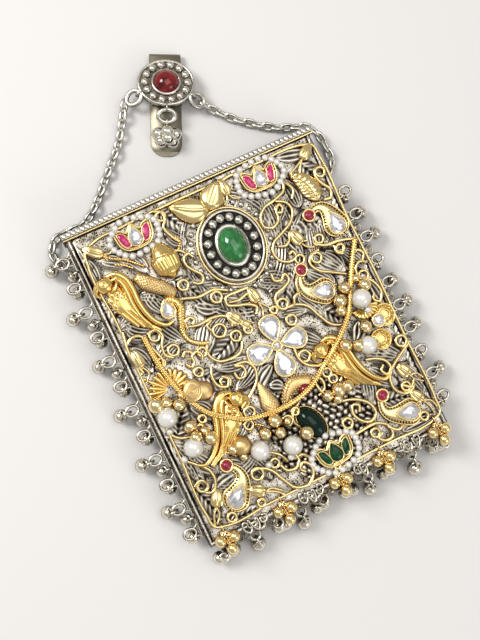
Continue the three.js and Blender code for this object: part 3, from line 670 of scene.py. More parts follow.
def relief_height(x, y):
    """The embossed front over its whole plan: plain ground, ridged bands round the bezel, rows of
    granules low in the middle, then the leaves, each standing over what it covers. Also returns where
    the ground shows and where the granules are."""
    swell = 0.06 * (np.sin(1.1 * x + 0.7 * np.sin(0.5 * y)) + np.sin(0.9 * y + 0.8 * np.sin(0.6 * x)))
    z = 0.3 + swell
    across = (x - GRANULE_MIDDLE[0]) / GRANULE_RADII[0]
    along = (y - GRANULE_MIDDLE[1]) / GRANULE_RADII[1]
    patch = across**2 + along**2 + 0.4 * np.sin(0.31 * x + 1) * np.sin(0.37 * y)
    grains = (patch < 1) & (y > FRAME_BOTTOM)
    rows = granule_rows(x + 0.5 * np.sin(0.6 * y), y + 0.5 * np.sin(0.5 * x), GRANULE_PITCH)
    z = np.where(grains, rows, z)
    for band in RELIEF_BANDS:
        z = np.maximum(z, ridged_band(x, y, BEZEL, *band))
    ground = (z < 0.46) & ~grains
    for number, (base, tip, width, bend) in enumerate(RELIEF_LEAVES):
        raised = relief_leaf(x, y, base, tip, LEAF_SPREAD * width, LEAF_RISE, bend, number % 4 > 0)
        z = np.maximum(z, raised)
        ground &= raised <= 0
    return z, ground, grains


def embossed_front():
    """Front sheet: a closed slab whose top is the embossed height, flat along its border; the tone is how
    far each point stands above the softened sheet."""
    half = (PLATE_HIGH - PLATE_LOW) / 2
    centre = (PLATE_HIGH + PLATE_LOW) / 2 - PANEL
    columns, lines = 280, 345
    x = np.linspace(-half[0], half[0], columns)[None] + centre[0]
    y = np.linspace(-half[1], half[1], lines)[:, None] + centre[1]
    x, y = np.broadcast_arrays(x, y)
    inset = np.minimum(half[0] - np.abs(x - centre[0]), half[1] - np.abs(y - centre[1]))
    z, ground, grains = relief_height(x, y)
    rim = 0.5 * np.exp(-(((inset - 1.0) / 0.55) ** 2))
    z = np.where(inset < 2.2, rim, z) * np.minimum(1, inset / 0.3)
    crisp = np.where(grains, 0.55, 1.5)
    tone = 0.34 + crisp * (z - softened(z, 12)) + 0.2 * np.clip(z, 0, 1)
    tone = np.where(ground, tone + 0.27, np.where(grains, tone + 0.09, tone))
    top = np.stack([x, y, z], -1)
    thick = PLATE_HIGH[2] - PLATE_LOW[2]
    under = np.stack([x, y, np.full(x.shape, -thick)], -1)
    walls = [np.stack([top[k], under[k]]) for k in (0, -1)]
    walls += [np.stack([top[:, k], under[:, k]]) for k in (0, -1)]
    corners = under[:: lines - 1, :: columns - 1]
    plain = [np.full(wall.shape[:2], 0.5) for wall in walls] + [np.full((2, 2), 0.5)]
    tones = np.concatenate([part.ravel() for part in (tone, *plain)])
    grounds = np.concatenate([ground.ravel().astype(float), *[0 * part.ravel() for part in plain]])
    return [top, *walls, corners], {"tone": tones, "ground": grounds}


FRONT, FRONT_MARKS = embossed_front()
make("embossed_front", FRONT, EMBOSSED, stands_for=["front_plate"], marks=FRONT_MARKS)

# Wirework of the panel: the frame's bends, curls through points, rings as x, y and radius
WIRE = 0.74
WIRE_LEVEL = 1.7
FRAME_BENDS = [
    (-50, -66.5), (-30, -66.4), (0, -66.6), (30, -66.5), (50.5, -66.4), (54.6, -64.8), (55.5, -58),
    (55.3, -30), (55.8, 0), (55.2, 30), (55.7, 58), (54.6, 64.9), (50, 66.6), (30, 67.2), (10, 66.7),
    (-15, 66.6), (-38, 65.6), (-50, 64.6), (-54.4, 62.2), (-55.8, 56), (-55.2, 30), (-55.7, 0),
    (-55.2, -30), (-55.6, -58), (-54.4, -65),
]
SCROLLS = [
    [(-30, 28), (-25, 27), (-20, 25.2), (-12, 25.2), (-7, 22.6)],
    [(-14, 41.5), (-15.4, 43.8), (-17.6, 43), (-18.4, 40), (-16.2, 36), (-14, 33), (-14.4, 30.6),
     (-17, 30.2), (-18.6, 31.8)],
    [(1.5, 20), (-4, 20.2), (-9, 19.8), (-9.8, 17), (-6, 14.8), (-1, 13), (1.5, 10.5), (0, 8)],
    [(-30, 16), (-25, 14.4), (-18, 14.6), (-13, 13.2), (-10.6, 10.6), (-11.6, 7.8)],
    [(-55.6, 19.4), (-52.5, 21.2), (-49, 20.6), (-47, 17.4), (-47.4, 12)],
    [(-45.8, 20), (-41.5, 20), (-40.2, 17), (-42.4, 12.6), (-42.6, 8.6), (-40, 6.4)],
    [(-24.6, 6), (-26, 1), (-23.6, -3), (-18, -4.4), (-12.4, -3), (-10.6, 0)],
    [(-19.4, -10.4), (-18.8, -13.4), (-15.6, -13.4), (-15, -9.6), (-18, -8), (-13, -8.4), (-10.8, -12),
     (-12, -17), (-17, -21.6), (-23, -25)],
    [(-27.4, -4.4), (-28.8, -8), (-27.6, -13), (-24.4, -14.2), (-23, -11.4), (-25, -9.6)],
    [(-54.6, -34), (-50, -38.6), (-46.4, -43), (-46.2, -47.6), (-49.4, -51.4), (-52, -50.4)],
    [(-31, -51), (-27, -51.4), (-23, -54.4), (-20.4, -59.4), (-16.6, -65.4), (-11.6, -66.6),
     (-7.6, -63.8), (-7, -59.6), (-9.6, -57.2), (-11.6, -59.4), (-10, -61.4)],
    [(-18.6, -54), (-17, -57.2), (-13, -57.8), (-10.6, -55.6), (-11, -52.6)],
    [(-55.4, -21), (-53, -24.4), (-48, -26.4), (-44, -25.8)],
    [(13, 5), (17, 4.6), (21.4, 2), (24.4, -4), (28, -10), (33, -12), (37.4, -9.4), (39, -5)],
    [(8.4, -12), (8.2, -17), (10.4, -21), (15.6, -23.4), (20, -22)],
    [(47, 3), (50.6, 1.6), (53.6, -2.6), (54, -7), (51.6, -9.8), (49.6, -7.6), (51, -5.8)],
    [(54.8, -32), (49, -35), (43.6, -38.4), (40.6, -42.4), (40.6, -47), (43.6, -50.4), (48.4, -50),
     (50, -47)],
    [(34.6, -30), (39, -31.6), (42.4, -34.4), (43, -38), (40.4, -39.6), (38.8, -37.2), (40.6, -35.4)],
    [(13, -41), (18, -41.6), (24, -44), (28.2, -48.4), (28.4, -53), (24.4, -54.6), (20.8, -52),
     (19.4, -48), (21, -45), (23.4, -46.4), (22.4, -49)],
    [(14, -57), (20, -56.4), (27, -56.6), (31.2, -60), (31, -64.4), (27, -64.8), (25, -62.6),
     (27.4, -61.4)],
    [(35.6, 55.6), (34.4, 51.8), (29, 49.4), (23, 48), (19.6, 44.4), (19.4, 40.4), (22.6, 38.8),
     (26.4, 40.6), (27.4, 45), (29.6, 46.8), (30.6, 44.6)],
    [(29, 48.8), (33.2, 46), (34, 42), (31, 37.8), (25.4, 35), (20.4, 32.6), (18.2, 28.6), (19.4, 24.6),
     (23.4, 22.4), (26.8, 23.4), (26.2, 26), (24.2, 25.4)],
    [(13.4, 20.6), (13.4, 17.6), (16.4, 16.8), (18.4, 18.6), (19.4, 15.6), (15.8, 13.4), (11.6, 12),
     (9.8, 9), (10.4, 6)],
    [(36, 25), (40, 22.4), (46, 21.8), (54, 19.6)],
    [(37, 21.8), (33, 21.2), (30.8, 17.6), (32.6, 14), (38, 10.4), (43.4, 7.2)],
    [(44, 20.4), (44, 17), (46.4, 16), (47.4, 18.2)],
    [(47.6, 3), (48, 7.4), (51, 9.6), (54, 8)],
    [(54.4, 54), (51.4, 54.6), (50, 51), (51.4, 47), (53.4, 43.6), (52.4, 40.4), (49, 40.6)],
    [(-21, 66), (-18.6, 64.8), (-18, 61), (-20, 58.6), (-19, 54), (-16.6, 50)],
    [(-36.4, 1.6), (-35, -0.4), (-33, 0.6), (-32.8, 3.4), (-30.6, 4.6), (-28.6, 2.6), (-29.4, 0)],
    [(11.4, 66.4), (16, 67), (19, 66)],
    [(-54.6, 25), (-56, 15), (-54, 6)],
    [(10, -29), (11, -34), (14, -38)],
    [(0, -34), (-4, -36.6), (-5.4, -40), (-4, -43.4)],
    [(-29.4, 14.8), (-28.8, 18), (-26.4, 18.8), (-25.2, 16.8), (-26.6, 15.8)],
    [(-36.4, 5), (-34.6, 6.4), (-32.4, 5.2), (-33, 3), (-35, 3.2)],
    [(-22.4, 47), (-18.4, 46.6), (-16, 44)],
    [(-47, 16), (-45.4, 11), (-44.6, 6.6), (-46.4, 4.4), (-48.4, 6)],
    [(36, 46.6), (38, 50), (36.6, 54)],
    [(21.4, 30.4), (24.6, 29.4), (27, 30.8), (28.6, 34)],
    [(24, 16), (21.4, 12.4), (20.4, 7)],
    [(16.6, 4.6), (18.6, 8), (22, 8.6)],
    [(-8.4, 17.4), (-4.6, 16.6), (0, 17.6), (3.6, 17)],
    [(-20, 9), (-21.4, 12.4), (-18.6, 13.8)],
    [(44.6, -47), (47.6, -49), (50.6, -46.4)],
    [(9, -26), (13.4, -29.4), (12.6, -33.6), (9.4, -35)],
    [(20.4, -33.4), (24.4, -31), (26, -34.4), (23.6, -37)],
    [(-55, -46), (-51.6, -44.8), (-49.8, -47)],
    [(-20, -47.4), (-16.6, -50.4), (-15, -54)],
    [(-6, -56.4), (-8.4, -54), (-12, -54.4)],
    [(30.6, -60), (34, -63), (38, -62.4)],
    [(49.4, 13), (52.4, 14.6), (54.4, 12.2), (53, 9.6)],
]
WIRE_RINGS = [
    (-23, 32.4, 2.2), (-12.4, 21.8, 2.3), (-17.4, 8.4, 2.8), (-12, 3.4, 2.2), (-43.2, 18, 2.2),
    (-33, -3.6, 1.9), (-38.6, 9.2, 2.3), (-20.8, -28.2, 2.3), (-23.4, -33, 1.9), (-52, -47.4, 2.2),
    (-29, -53, 2.5), (-20.4, -52.2, 1.9), (12.2, 7.2, 2.3), (12.7, -0.6, 2.2), (11, -17, 2.4),
    (52.6, -29.4, 2.4), (45.8, -48, 1.9), (15.4, -51, 2.2), (16.8, -27.6, 1.9), (18, -31.2, 1.8),
    (39.2, 26, 1.9), (34.6, 19, 2.2), (50.2, 3.4, 2.1), (52.6, 52.4, 2.1), (-46.4, -64.4, 1.9),
    (47.4, -63, 1.8), (-42.6, -25.4, 1.7), (-40, -22, 1.6), (-7.6, -38.6, 2.1), (-3, -36.4, 1.6),
    (-24.4, -12.2, 2.2), (28.8, 45, 1.7), (-19.2, 63, 2.0), (27.6, 21.4, 2.0), (46, 18.4, 1.8),
    (-28, 3.4, 1.9), (-45.6, 6.6, 1.8), (24.6, -60, 1.9), (3.4, -65.2, 1.3), (-32.6, -64.6, 1.6),
    (-6, 3.6, 1.7), (7.6, 6.4, 1.5),
]
SMALL_CHAINS = [
    [(-48, 57), (-44.6, 54.6), (-41, 52.6), (-38, 50), (-35, 47)],
    [(-20, 57), (-18, 53.4), (-16.2, 50), (-18, 47.4)], [(-45, 52), (-42, 50.4), (-39.4, 48)],
    [(52.6, 19.4), (51.4, 15.6), (48.4, 12), (46, 7)], [(-54.6, 3), (-52.4, 0), (-53.6, -4)],
    [(-40, -38), (-36.6, -39.4), (-34, -42)], [(-24, -36), (-21, -34), (-18, -36)],
]
GARLAND = [
    (-47.6, 19, 3.2), (-47.2, 10, 3.2), (-45.6, 0, 3.0), (-43.6, -8, 3.6), (-40.4, -15, 3.4),
    (-36, -21.6, 4.2), (-30, -26, 5.2), (-25, -29.4, 4.4), (-18, -31.6, 3.2), (-9, -32.6, 4.6),
    (0, -32, 4.8), (8, -29.6, 4.2), (16, -24.6, 3.4), (22, -20.4, 5.2), (29, -15.4, 5.0), (36, -9, 4.0),
    (41, -1, 3.6), (45, 6, 3.4), (49, 12.6, 3.2), (53.4, 19, 3.0),
]


def frame_wire():
    """Hand-bent rectangle of wire: a smooth closed line through points a little off the true one."""
    return hoop(lifted(closed_through(FRAME_BENDS, 0.8), FRAME_LEVEL), 0.64)


def scroll_wires():
    """Curled wires, each rising a little in the middle of its run, and round wire rings."""
    made = []
    for number, points in enumerate(SCROLLS):
        path = through(points, 0.55)
        rise = WIRE_LEVEL + 0.35 * (number % 3) + 0.5 * np.sin(np.linspace(0, np.pi, len(path)))
        made.append(tube(lifted(path, rise), WIRE))
    made += [torus((x, y, WIRE_LEVEL + 0.5), radius, WIRE) for x, y, radius in WIRE_RINGS]
    return made


def garland():
    """Two rows of touching grains side by side along a hanging line, on a thin wire, and small chains of
    one row."""
    pitch, apart = 1.12, 0.62
    path = spaced(through(GARLAND, 0.3), pitch)
    across = unit(np.cross(UP, direction_of(path)))
    rows = [balls(path + side * apart * across, 0.66, 6, 9) for side in (1, -1)]
    made = [*rows, tube(path, 0.6, sides=7)]
    for points in SMALL_CHAINS:
        line = lifted(through(points, 0.3), WIRE_LEVEL + 0.3)
        made += [balls(spaced(line, pitch), 0.72, 6, 9), tube(line, 0.35, sides=6)]
    return made


# Each paisley is the middle of its clear drop, the bend of its line and its tip
PAISLEYS = {
    "paisley_upper": ((49.2, 29), (48.5, 43), (39.7, 37)),
    "paisley_middle": ((31, 4.6), (19, 7.5), (26, 17)),
    "paisley_lower_left": ((-41, -58), (-30.5, -50.5), (-39.3, -44)),
    "paisley_lower_right": ((42, -58.6), (28, -56), (34.5, -47)),
}


def paisleys():
    """Comma of gold along a bent line with a clear drop at its round end and a red stone at its tip,
    edged by two wires with a row of dark dots between them. Returns gold, dot, clear and red
    surfaces."""
    gold, beads, clear, red = [], [], [], []
    u = np.linspace(0, 1, 25)[:, None]
    for stone, bend, tip in PAISLEYS.values():
        line = (1 - u) ** 2 * np.array(stone) + 2 * u * (1 - u) * np.array(bend) + u**2 * np.array(tip)
        path, wide = ended_round(line, 1.35 + 4.35 * (1 - u[:, 0]) ** 2.2)
        gold.append(tube(lifted(path, 1.4), 0.96 * wide, 0.12 * wide + 0.65, 14))
        gold.append(hoop(lifted(sides_of(path, wide, 1.0), 1.9), 0.45))
        beads.append(balls(spaced(lifted(sides_of(path, wide, 0.8), 2.05), 1.3), 0.46, 5, 7))
        heading = np.degrees(np.arctan2(*(line[5] - line[0])[[1, 0]])) + 180
        clear.append(rose_cut(turned(teardrop(10.2, 7.4, 13) - (5.7, 0), heading, stone), 2.2, 2.3))
        gold.append(hoop(lifted(turned(teardrop(11.0, 8.0) - (6.1, 0), heading, stone), 2.6), 0.42))
        red.append(round_stone(*tip, 2.25, 2.3))
        gold.append(hoop(lifted(oval(2.6, 2.6, 21, tip), 2.5), 0.55))
    return gold, beads, clear, red


KUNDAN_CENTRE = np.array([2.2, -8.0])
KUNDAN_TURNS = (-3, 85, 178, 266)


def kundan_petal(degrees, length, width, root, count):
    """Outline of one drop of the flower, starting at a distance from the flower's middle."""
    return turned(teardrop(length, width, count) + (root, 0), degrees, KUNDAN_CENTRE)


def kundan_flower():
    """Four clear drops round a small one, each in a gold collar. Returns gold and clear surfaces."""
    middle = tuple(KUNDAN_CENTRE)
    clear = [rose_cut(oval(1.7, 1.7, 9, middle), 2.4, 1.5)]
    gold = [hoop(lifted(oval(2.1, 2.1, 21, middle), 2.7), 0.5)]
    gold.append(stepped(oval(2.4, 2.4, 21, middle), [(1, 0.6), (1, 2.4), (0.8, 2.5)]))
    for degrees in KUNDAN_TURNS:
        gold.append(stepped(kundan_petal(degrees, 12.4, 9.2, 1.4, 41), [(1, 0.6), (1, 2.3), (0.92, 2.5)]))
        gold.append(hoop(lifted(kundan_petal(degrees, 12.2, 9.0, 1.5, 49), 2.5), 0.42))
        clear.append(rose_cut(kundan_petal(degrees, 11.4, 8.4, 1.9, 17), 2.3, 1.9))
    return gold, clear


# Lotus charms: outlines about their own middle, then place and tilt of each
LOTUS_RIM = [
    (-8.0, 4.9), (-5.4, 4.4), (-3.2, 2.8), (-1.5, 4.2), (0, 5.5), (1.5, 4.2), (3.2, 2.8), (5.4, 4.4),
    (8.0, 4.9), (8.1, 1.2), (7.2, -2.4), (5.0, -4.6), (2.0, -5.2), (-2.0, -5.2), (-5.0, -4.6),
    (-7.2, -2.4), (-8.1, 1.2),
]
LOTUS_SIDE = [(6.7, 3.5), (4.5, 2.6), (3.4, 0.2), (3.4, -3.5), (5.3, -3.1), (6.7, -0.6)]
LOTUSES = {
    "lotus_left": (-32.6, 59.8, -1),
    "lotus_right": (27.2, 60.8, 0),
    "lotus_green": (5.2, -59.6, 4),
}
SEED_RING = (10.9, 7.9)
SEED_RADIUS = 1.55


def lotus(x, y, tilt):
    """Lotus charm: plate with a double rim round a dark floor, and three stones. Returns gold, floor,
    side stones and middle stone."""
    place = np.array([x, y])
    rim = turned(closed_through(LOTUS_RIM), tilt, place)
    gold = [stepped(rim, [(1, 0.5), (1, 2.1), (0.97, 2.2)]), hoop(lifted(rim, 2.3), 0.45)]
    gold.append(hoop(lifted(place + 0.885 * (rim - place), 2.45), 0.27, sides=6))
    floor = [stepped(place + 0.95 * (rim - place), [(1, 2.0), (1, 2.26), (0.9, 2.27)])]
    sides = []
    for mirror in (1, -1):
        edge = turned(closed_through(LOTUS_SIDE), tilt, place, mirror)
        sides.append(dome(edge, 2.3, 0.75, 4))
        gold.append(hoop(lifted(edge, 2.5), 0.28, sides=6))
    drop = turned(teardrop(8.2, 5.6, 15) - (4.4, 0), tilt - 90, place)
    gold.append(hoop(lifted(turned(teardrop(8.9, 6.2) - (4.7, 0), tilt - 90, place), 2.5), 0.32, sides=6))
    return gold, floor, sides, [rose_cut(drop, 2.3, 1.5)]


def seed_pearls():
    """Seed pearls on an oval round each lotus, and a few loose ones."""
    a = np.linspace(0, FULL, 22)[:-1] + 0.12
    centres = []
    for x, y, tilt in LOTUSES.values():
        wobble = 0.35 * np.sin(5 * a + x)
        x_out, y_out = (SEED_RING[0] + wobble) * np.cos(a), (SEED_RING[1] + wobble) * np.sin(a)
        ring = np.stack([x_out, y_out, 2.3 + 0.25 * np.sin(3 * a)], -1)
        centres.append(turned(ring, tilt, (x, y)))
    loose = [(-54.5, -21, 2.4), (-23, -51.6, 2.6), (-13, -53, 2.6), (44, -11, 6.4), (-54, -34, 2.6)]
    return [balls(np.concatenate([*centres, loose]), SEED_RADIUS, 11, 15)]


# Beads as x, y, height and radius; buds as foot, tip and radius
LARGE_PEARLS = [
    (-53, -15.2, 5.4, 4.4), (-48.6, -31, 5.6, 4.3), (-24, -44.6, 5.4, 4.3), (-10.6, -48.6, 5.4, 4.3),
    (43.4, -5.4, 6.6, 4.4), (37.4, -24.6, 5.8, 4.2),
]
GOLD_BALLS = [
    (-55, -8.6, 4.6, 3.6), (-50.6, -9.6, 3.6, 2.6), (-46.4, -12.6, 4.4, 2.8), (-46, -22.6, 4, 3),
    (-41.4, -27, 3.6, 2.4), (-40.4, -30.6, 5.2, 3), (-46, -27.6, 6.4, 2.7), (-19, -39.2, 4.6, 2.8),
    (-13, -36, 5, 3), (-13, -41.6, 5, 2.5), (-3, -46.4, 6, 3), (-8, -38.6, 3.4, 2), (35, -2.4, 5, 3),
    (39.4, 1.8, 4.4, 2.8), (48, -0.6, 4.6, 2.9), (33.8, -6.4, 4.2, 2.5), (28.6, -20.6, 6, 2.9),
    (33.6, -22.8, 6.6, 2.8), (40, -17, 5.6, 2.8), (17.6, -36.4, 4.6, 3.2), (12.4, -36.6, 3.6, 2.6),
    (22.2, -36.6, 3.8, 2.6), (-34, -39, 4, 2.4), (-31, -44, 3, 2), (16, -39.8, 3.4, 2.2),
    (46, 3.4, 3.4, 2.0), (-44, -9.4, 2.4, 1.8),
]


def round_beads(places):
    """Balls given as x, y, height and radius."""
    places = np.array(places)
    return [balls(places[:, :3], places[:, 3], 15, 21)]


BUDS = [
    ((-47.6, 58), (-55, 64), 2.1), ((11.4, 59.4), (11, 67.4), 2.1), ((47.6, 60.6), (54.2, 65.4), 2.2),
    ((31.6, 27), (28.8, 34.6), 2.4), ((3, 12), (1.6, 20), 2.2), ((-7.4, 7.4), (-11.6, 14), 2.4),
    ((-53.4, 8), (-54.2, 16.4), 2.2), ((-50.6, -58), (-46.6, -51), 2.4),
    ((-28.8, -61.4), (-35.4, -57), 2.4), ((49.6, -44.6), (46.2, -38), 2.4),
    ((50, -57), (46.4, -50.6), 2.2), ((-4.6, 4), (-8, 8.4), 1.6),
]
STEMS = [
    [(-48, 58.4), (-46, 55.6), (-43, 53.4), (-39, 52)], [(-48, 58.4), (-45.4, 57.6), (-43.6, 58.6)],
    [(-48.4, 58), (-47.4, 55)], [(11, 60), (9.6, 57.4), (8, 56.4)],
    [(11.4, 60), (13, 57.4), (15.4, 56.4)], [(12, 60), (14.6, 62.4)],
    [(48, 60.8), (44, 58.6), (40, 56.8)], [(48, 60.8), (45.6, 57.6), (44.4, 55.4)],
    [(31.6, 27), (33, 25), (36, 23.6)], [(31.8, 28), (34, 27.6)], [(3, 12.6), (5.4, 9.4), (7.6, 6.6)],
    [(3, 12.4), (3.4, 8.6), (2.4, 6)], [(-7.4, 7.4), (-5.4, 5.4), (-3, 2)],
    [(-7.6, 7.6), (-4.6, 7), (-2.6, 5)], [(-53.4, 8.4), (-52, 5), (-54.6, 1.6)],
    [(-53.4, 8.4), (-55, 5.4)], [(-50.4, -57.6), (-52.6, -60), (-54.4, -65)],
    [(-50.4, -57.6), (-50.6, -61), (-53, -64)], [(-29, -61.2), (-25.4, -63), (-22, -66)],
    [(-29, -61.2), (-26.6, -61), (-22.4, -64)], [(49.4, -44.4), (51, -47), (54, -49.4)],
    [(49.4, -44.4), (52.6, -45), (54.6, -48)], [(49.8, -56.6), (51.6, -60), (52.4, -64)],
    [(49.8, -56.6), (53.4, -58.6), (54.6, -62)],
]


def bud(foot, tip, radius):
    """Ribbed bud: fat near its foot and pointed at its tip."""
    t = np.linspace(0, 1, 15)
    girth = radius * (0.25 + 1.9 * np.sqrt(t) * (1 - t) ** 0.8)
    return tube(lifted(np.linspace(foot, tip, 15), 2.0), girth, 0.75 * girth, 36, ribs=9, rib_depth=0.12)


def buds_and_stems():
    """Buds on wire stems."""
    stems = [tube(lifted(through(stem), 1.8), 0.5, sides=7) for stem in STEMS]
    return [bud(*place) for place in BUDS] + stems


def gold_leaves():
    """Three large leaves: two smooth ones above the bezel and a ribbed one by the right lotus."""
    return [
        leaf(through([(1.2, 57), (-6, 60), (-15, 65.4)]), 11.6, 1.2, 2.0, 0, 0.3),
        leaf(through([(0.6, 57.4), (4.6, 61.6), (9.4, 67.4)]), 11.4, 1.6, 2.4, 0, 0.3),
        leaf(through([(46.6, 41), (45.4, 49), (39.6, 57.6)]), 9.8, 1.2, 1.9, 9, 0.42),
    ]


def fan(hub, inner, outer, first=-14, last=200):
    """Part of a rosette: narrow petals that spread from a hub between two angles."""
    made = []
    t = np.linspace(0, 1, 12)
    girth = np.interp(t, [0, 0.6, 0.9, 1], [0.4, 1.0, 1.05, 0.5])
    for angle in np.radians(np.arange(first, last, 16.5)):
        ray = np.array([np.cos(angle), np.sin(angle)])
        made.append(tube(lifted(hub + (inner + (outer - inner) * t[:, None]) * ray, 1.8), girth))
    return made


def rosette(x, y, radius):
    """Low dome with two wire rings and a ring of granules between them."""
    grains = ring_of((x, y), (0.68 * radius, 0.68 * radius), 12, 2.5)
    rings = []
    for share, height in ((0.92, 1.9), (0.42, 3.0)):
        edge = oval(share * radius, share * radius, 33, (x, y))
        rings.append(hoop(lifted(edge, height), 0.4))
    return [dome(oval(radius, radius, 29, (x, y)), 1.2, 1.7), *rings, balls(grains, 0.6, 6, 9)]


def pot():
    """Ribbed pot lying on its side: its girth follows a profile from foot to lip."""
    axis = np.linspace((-25.0, 37.2), (-26.2, 53.6), 49)
    t = np.linspace(0, 1, 49)
    girth = profile(axis, np.linspace(0, 1, 9), [1.2, 4.2, 5.3, 5.7, 5.8, 5.3, 4.4, 3.2, 1.4])
    ribbed = np.where((t > 0.16) & (t < 0.54), 0.04, 0.0)
    body = tube(lifted(axis, 2.2), girth, 0.7 * girth, 96, ribs=24, rib_depth=ribbed)
    band = [
        (-31.0, 46.2, 2.6), (-28.4, 46.9, 5.3), (-25.5, 47.2, 6.4), (-22.6, 46.9, 5.3), (-20, 46.2, 2.6),
    ]
    return [body, tube(through(band), 0.5)]


# Small charms: line of the ringed stem, and pitch of its rings and of the scales on other charms
STEM_LINE = [
    (-32.6, 30), (-29.2, 28), (-28, 24.4), (-29.8, 20), (-31.6, 15), (-30.6, 10), (-27, 7), (-23.6, 5.6),
]
RING_PITCH = 1.1
SCALE_PITCH = 1.5
FINE_STEP = 0.25


def ringed_stem():
    """Bent stem whose girth goes up and down along it."""
    path = through(STEM_LINE, FINE_STEP)
    taper = profile(path, [0, 0.3, 0.5, 1], [1.7, 1.9, 1.3, 1.0])
    swell = 0.17 * np.cos(FULL * np.arange(len(path)) * FINE_STEP / RING_PITCH)
    return tube(lifted(path, 2.1), taper + swell, sides=12)


def gold_charms():
    """Polished charms: two fans, pot, ringed stem and two rosettes."""
    made = fan(np.array([-46.6, -5.4]), 2.2, 9.4) + pot() + [ringed_stem()]
    made += fan(np.array([44.4, -8.4]), 2.0, 6.4, 195, 345)
    return made + rosette(51, -16, 5.2) + rosette(45, -25, 4.8)


def scaly(path, girth, flat, height, depth):
    """Tube along a line whose ribs change places with their gaps at even steps, so that its skin shows
    scales."""
    swap = depth * np.cos(FULL * np.arange(len(path)) * FINE_STEP / SCALE_PITCH)
    return tube(lifted(path, height), girth, flat * girth, 64, ribs=16, rib_depth=swap)


def nut():
    """Long nut with a scaly skin."""
    line = through([(-38.6, 42.6), (-37, 40), (-33.6, 36.6), (-30.6, 34), (-28.6, 31.6)], FINE_STEP)
    radius = profile(line, [0, 0.2, 0.7, 1], [2.6, 3.4, 3.1, 2.2])
    return scaly(*ended_round(line, radius), 1.0, 2.4, 0.09)


def drum():
    """Short barrel with a disc before its near end, and a coil of wire on the disc."""
    end = (-38.8, -9.6)
    barrel, girth = ended_round(np.linspace((-39, -9.4), (-34.4, -11.8), 13), np.linspace(4.4, 4.2, 13))
    face = [(1, 2.0), (1.03, 4.6), (0.97, 5.1), (0.9, 5.0), (0.86, 5.2), (0.5, 5.3)]
    disc = stepped(turned(oval(4.0, 4.7, 37), -20, end), face)
    angle = np.linspace(0, 3 * FULL, 91)
    coil = np.linspace(0.3, 3.1, 91)[:, None] * np.stack([np.cos(angle), np.sin(angle)], 1) + end
    body = tube(lifted(barrel, 2.2), girth, 0.7 * girth, 24)
    return [body, disc, tube(lifted(coil, 5.3), 0.36, sides=6)]


def tulip():
    """Closed tulip with a scaly skin, pointed at its top."""
    axis = np.linspace((-12.0, -18.6), (-11.1, -34.5), 55)
    radius = profile(axis, [0, 0.15, 0.4, 0.65, 0.85, 1], [0.6, 1.5, 2.7, 3.7, 3.4, 1.0])
    return scaly(axis, radius, 0.7, 2.0, 0.1)


def comma():
    """Plump comma with two rows of grains round it."""
    line = through([(7, -27.4), (2, -25.8), (-2, -28), (-5, -32)])
    radius = profile(line, [0, 0.4, 1], [3.4, 3.2, 1.6])
    path, girth = ended_round(line, radius)
    made = [tube(lifted(path, 1.8), girth, 0.55 * girth, 16)]
    for share, height in ((0.95, 2.0), (0.55, 3.2)):
        made.append(balls(spaced(lifted(sides_of(path, girth, share), height), 1.3), 0.62, 6, 9))
    return made


def matte_charms():
    """Matted charms: nut, drum, tulip, comma and a half ball among the pearls."""
    half_ball = balls([(-30, -39.4, 3.2)], 4.4, 15, 21)
    return [nut(), *drum(), tulip(), *comma(), half_ball]


# Parrots as x, y, turn and mirror; lines about a parrot's own middle; wing rows as y, first x and count
PARROTS = {
    "parrot_left": (-48, 37, 0, 1),
    "parrot_middle": (-31, -27.5, -19, -1),
    "parrot_right": (25, -26, 8.7, 1),
}
PARROT_SPINE = [(-4.6, 8.8), (-2.0, 4.6), (-1.6, -1.0), (1.0, -8.0), (4.4, -13.4), (8.0, -17.4)]
PARROT_GIRTH = [3.4, 3.4, 4.4, 3.0, 1.8, 1.0]
PARROT_BEAK = [(-8.0, 9.6), (-9.4, 8.2), (-9.8, 6.2), (-8.6, 4.8)]
PARROT_COLLAR = [(-5.6, 4.8, 1.6), (-3.6, 4.9, 4.0), (-1.4, 6.0, 4.8), (0.0, 8.2, 4.4), (0.4, 11.0, 1.6)]
PARROT_BACK = [
    (-3.0, 12.0), (0.8, 11.4), (3.8, 8), (4.8, 3), (4.8, -3), (5.8, -9), (8.4, -14.4), (11.6, -17),
    (14.6, -16.6),
]
PARROT_INNER = [(-1.6, 9.8), (0.4, 9.2), (1.8, 6.4), (2.2, 2.4), (2.2, -3.6), (3.2, -9.4), (5.8, -15)]
FEATHERS = [((-3.6, -4.6), (0.6, -12.6)), ((-1.6, -4.6), (2.8, -13.8)), ((0.6, -4.6), (5.0, -15.0))]
WING_ROWS = [(-3.2, -3.2, 2), (-0.8, -4.4, 3), (1.6, -5.0, 3), (3.8, -3.8, 2)]


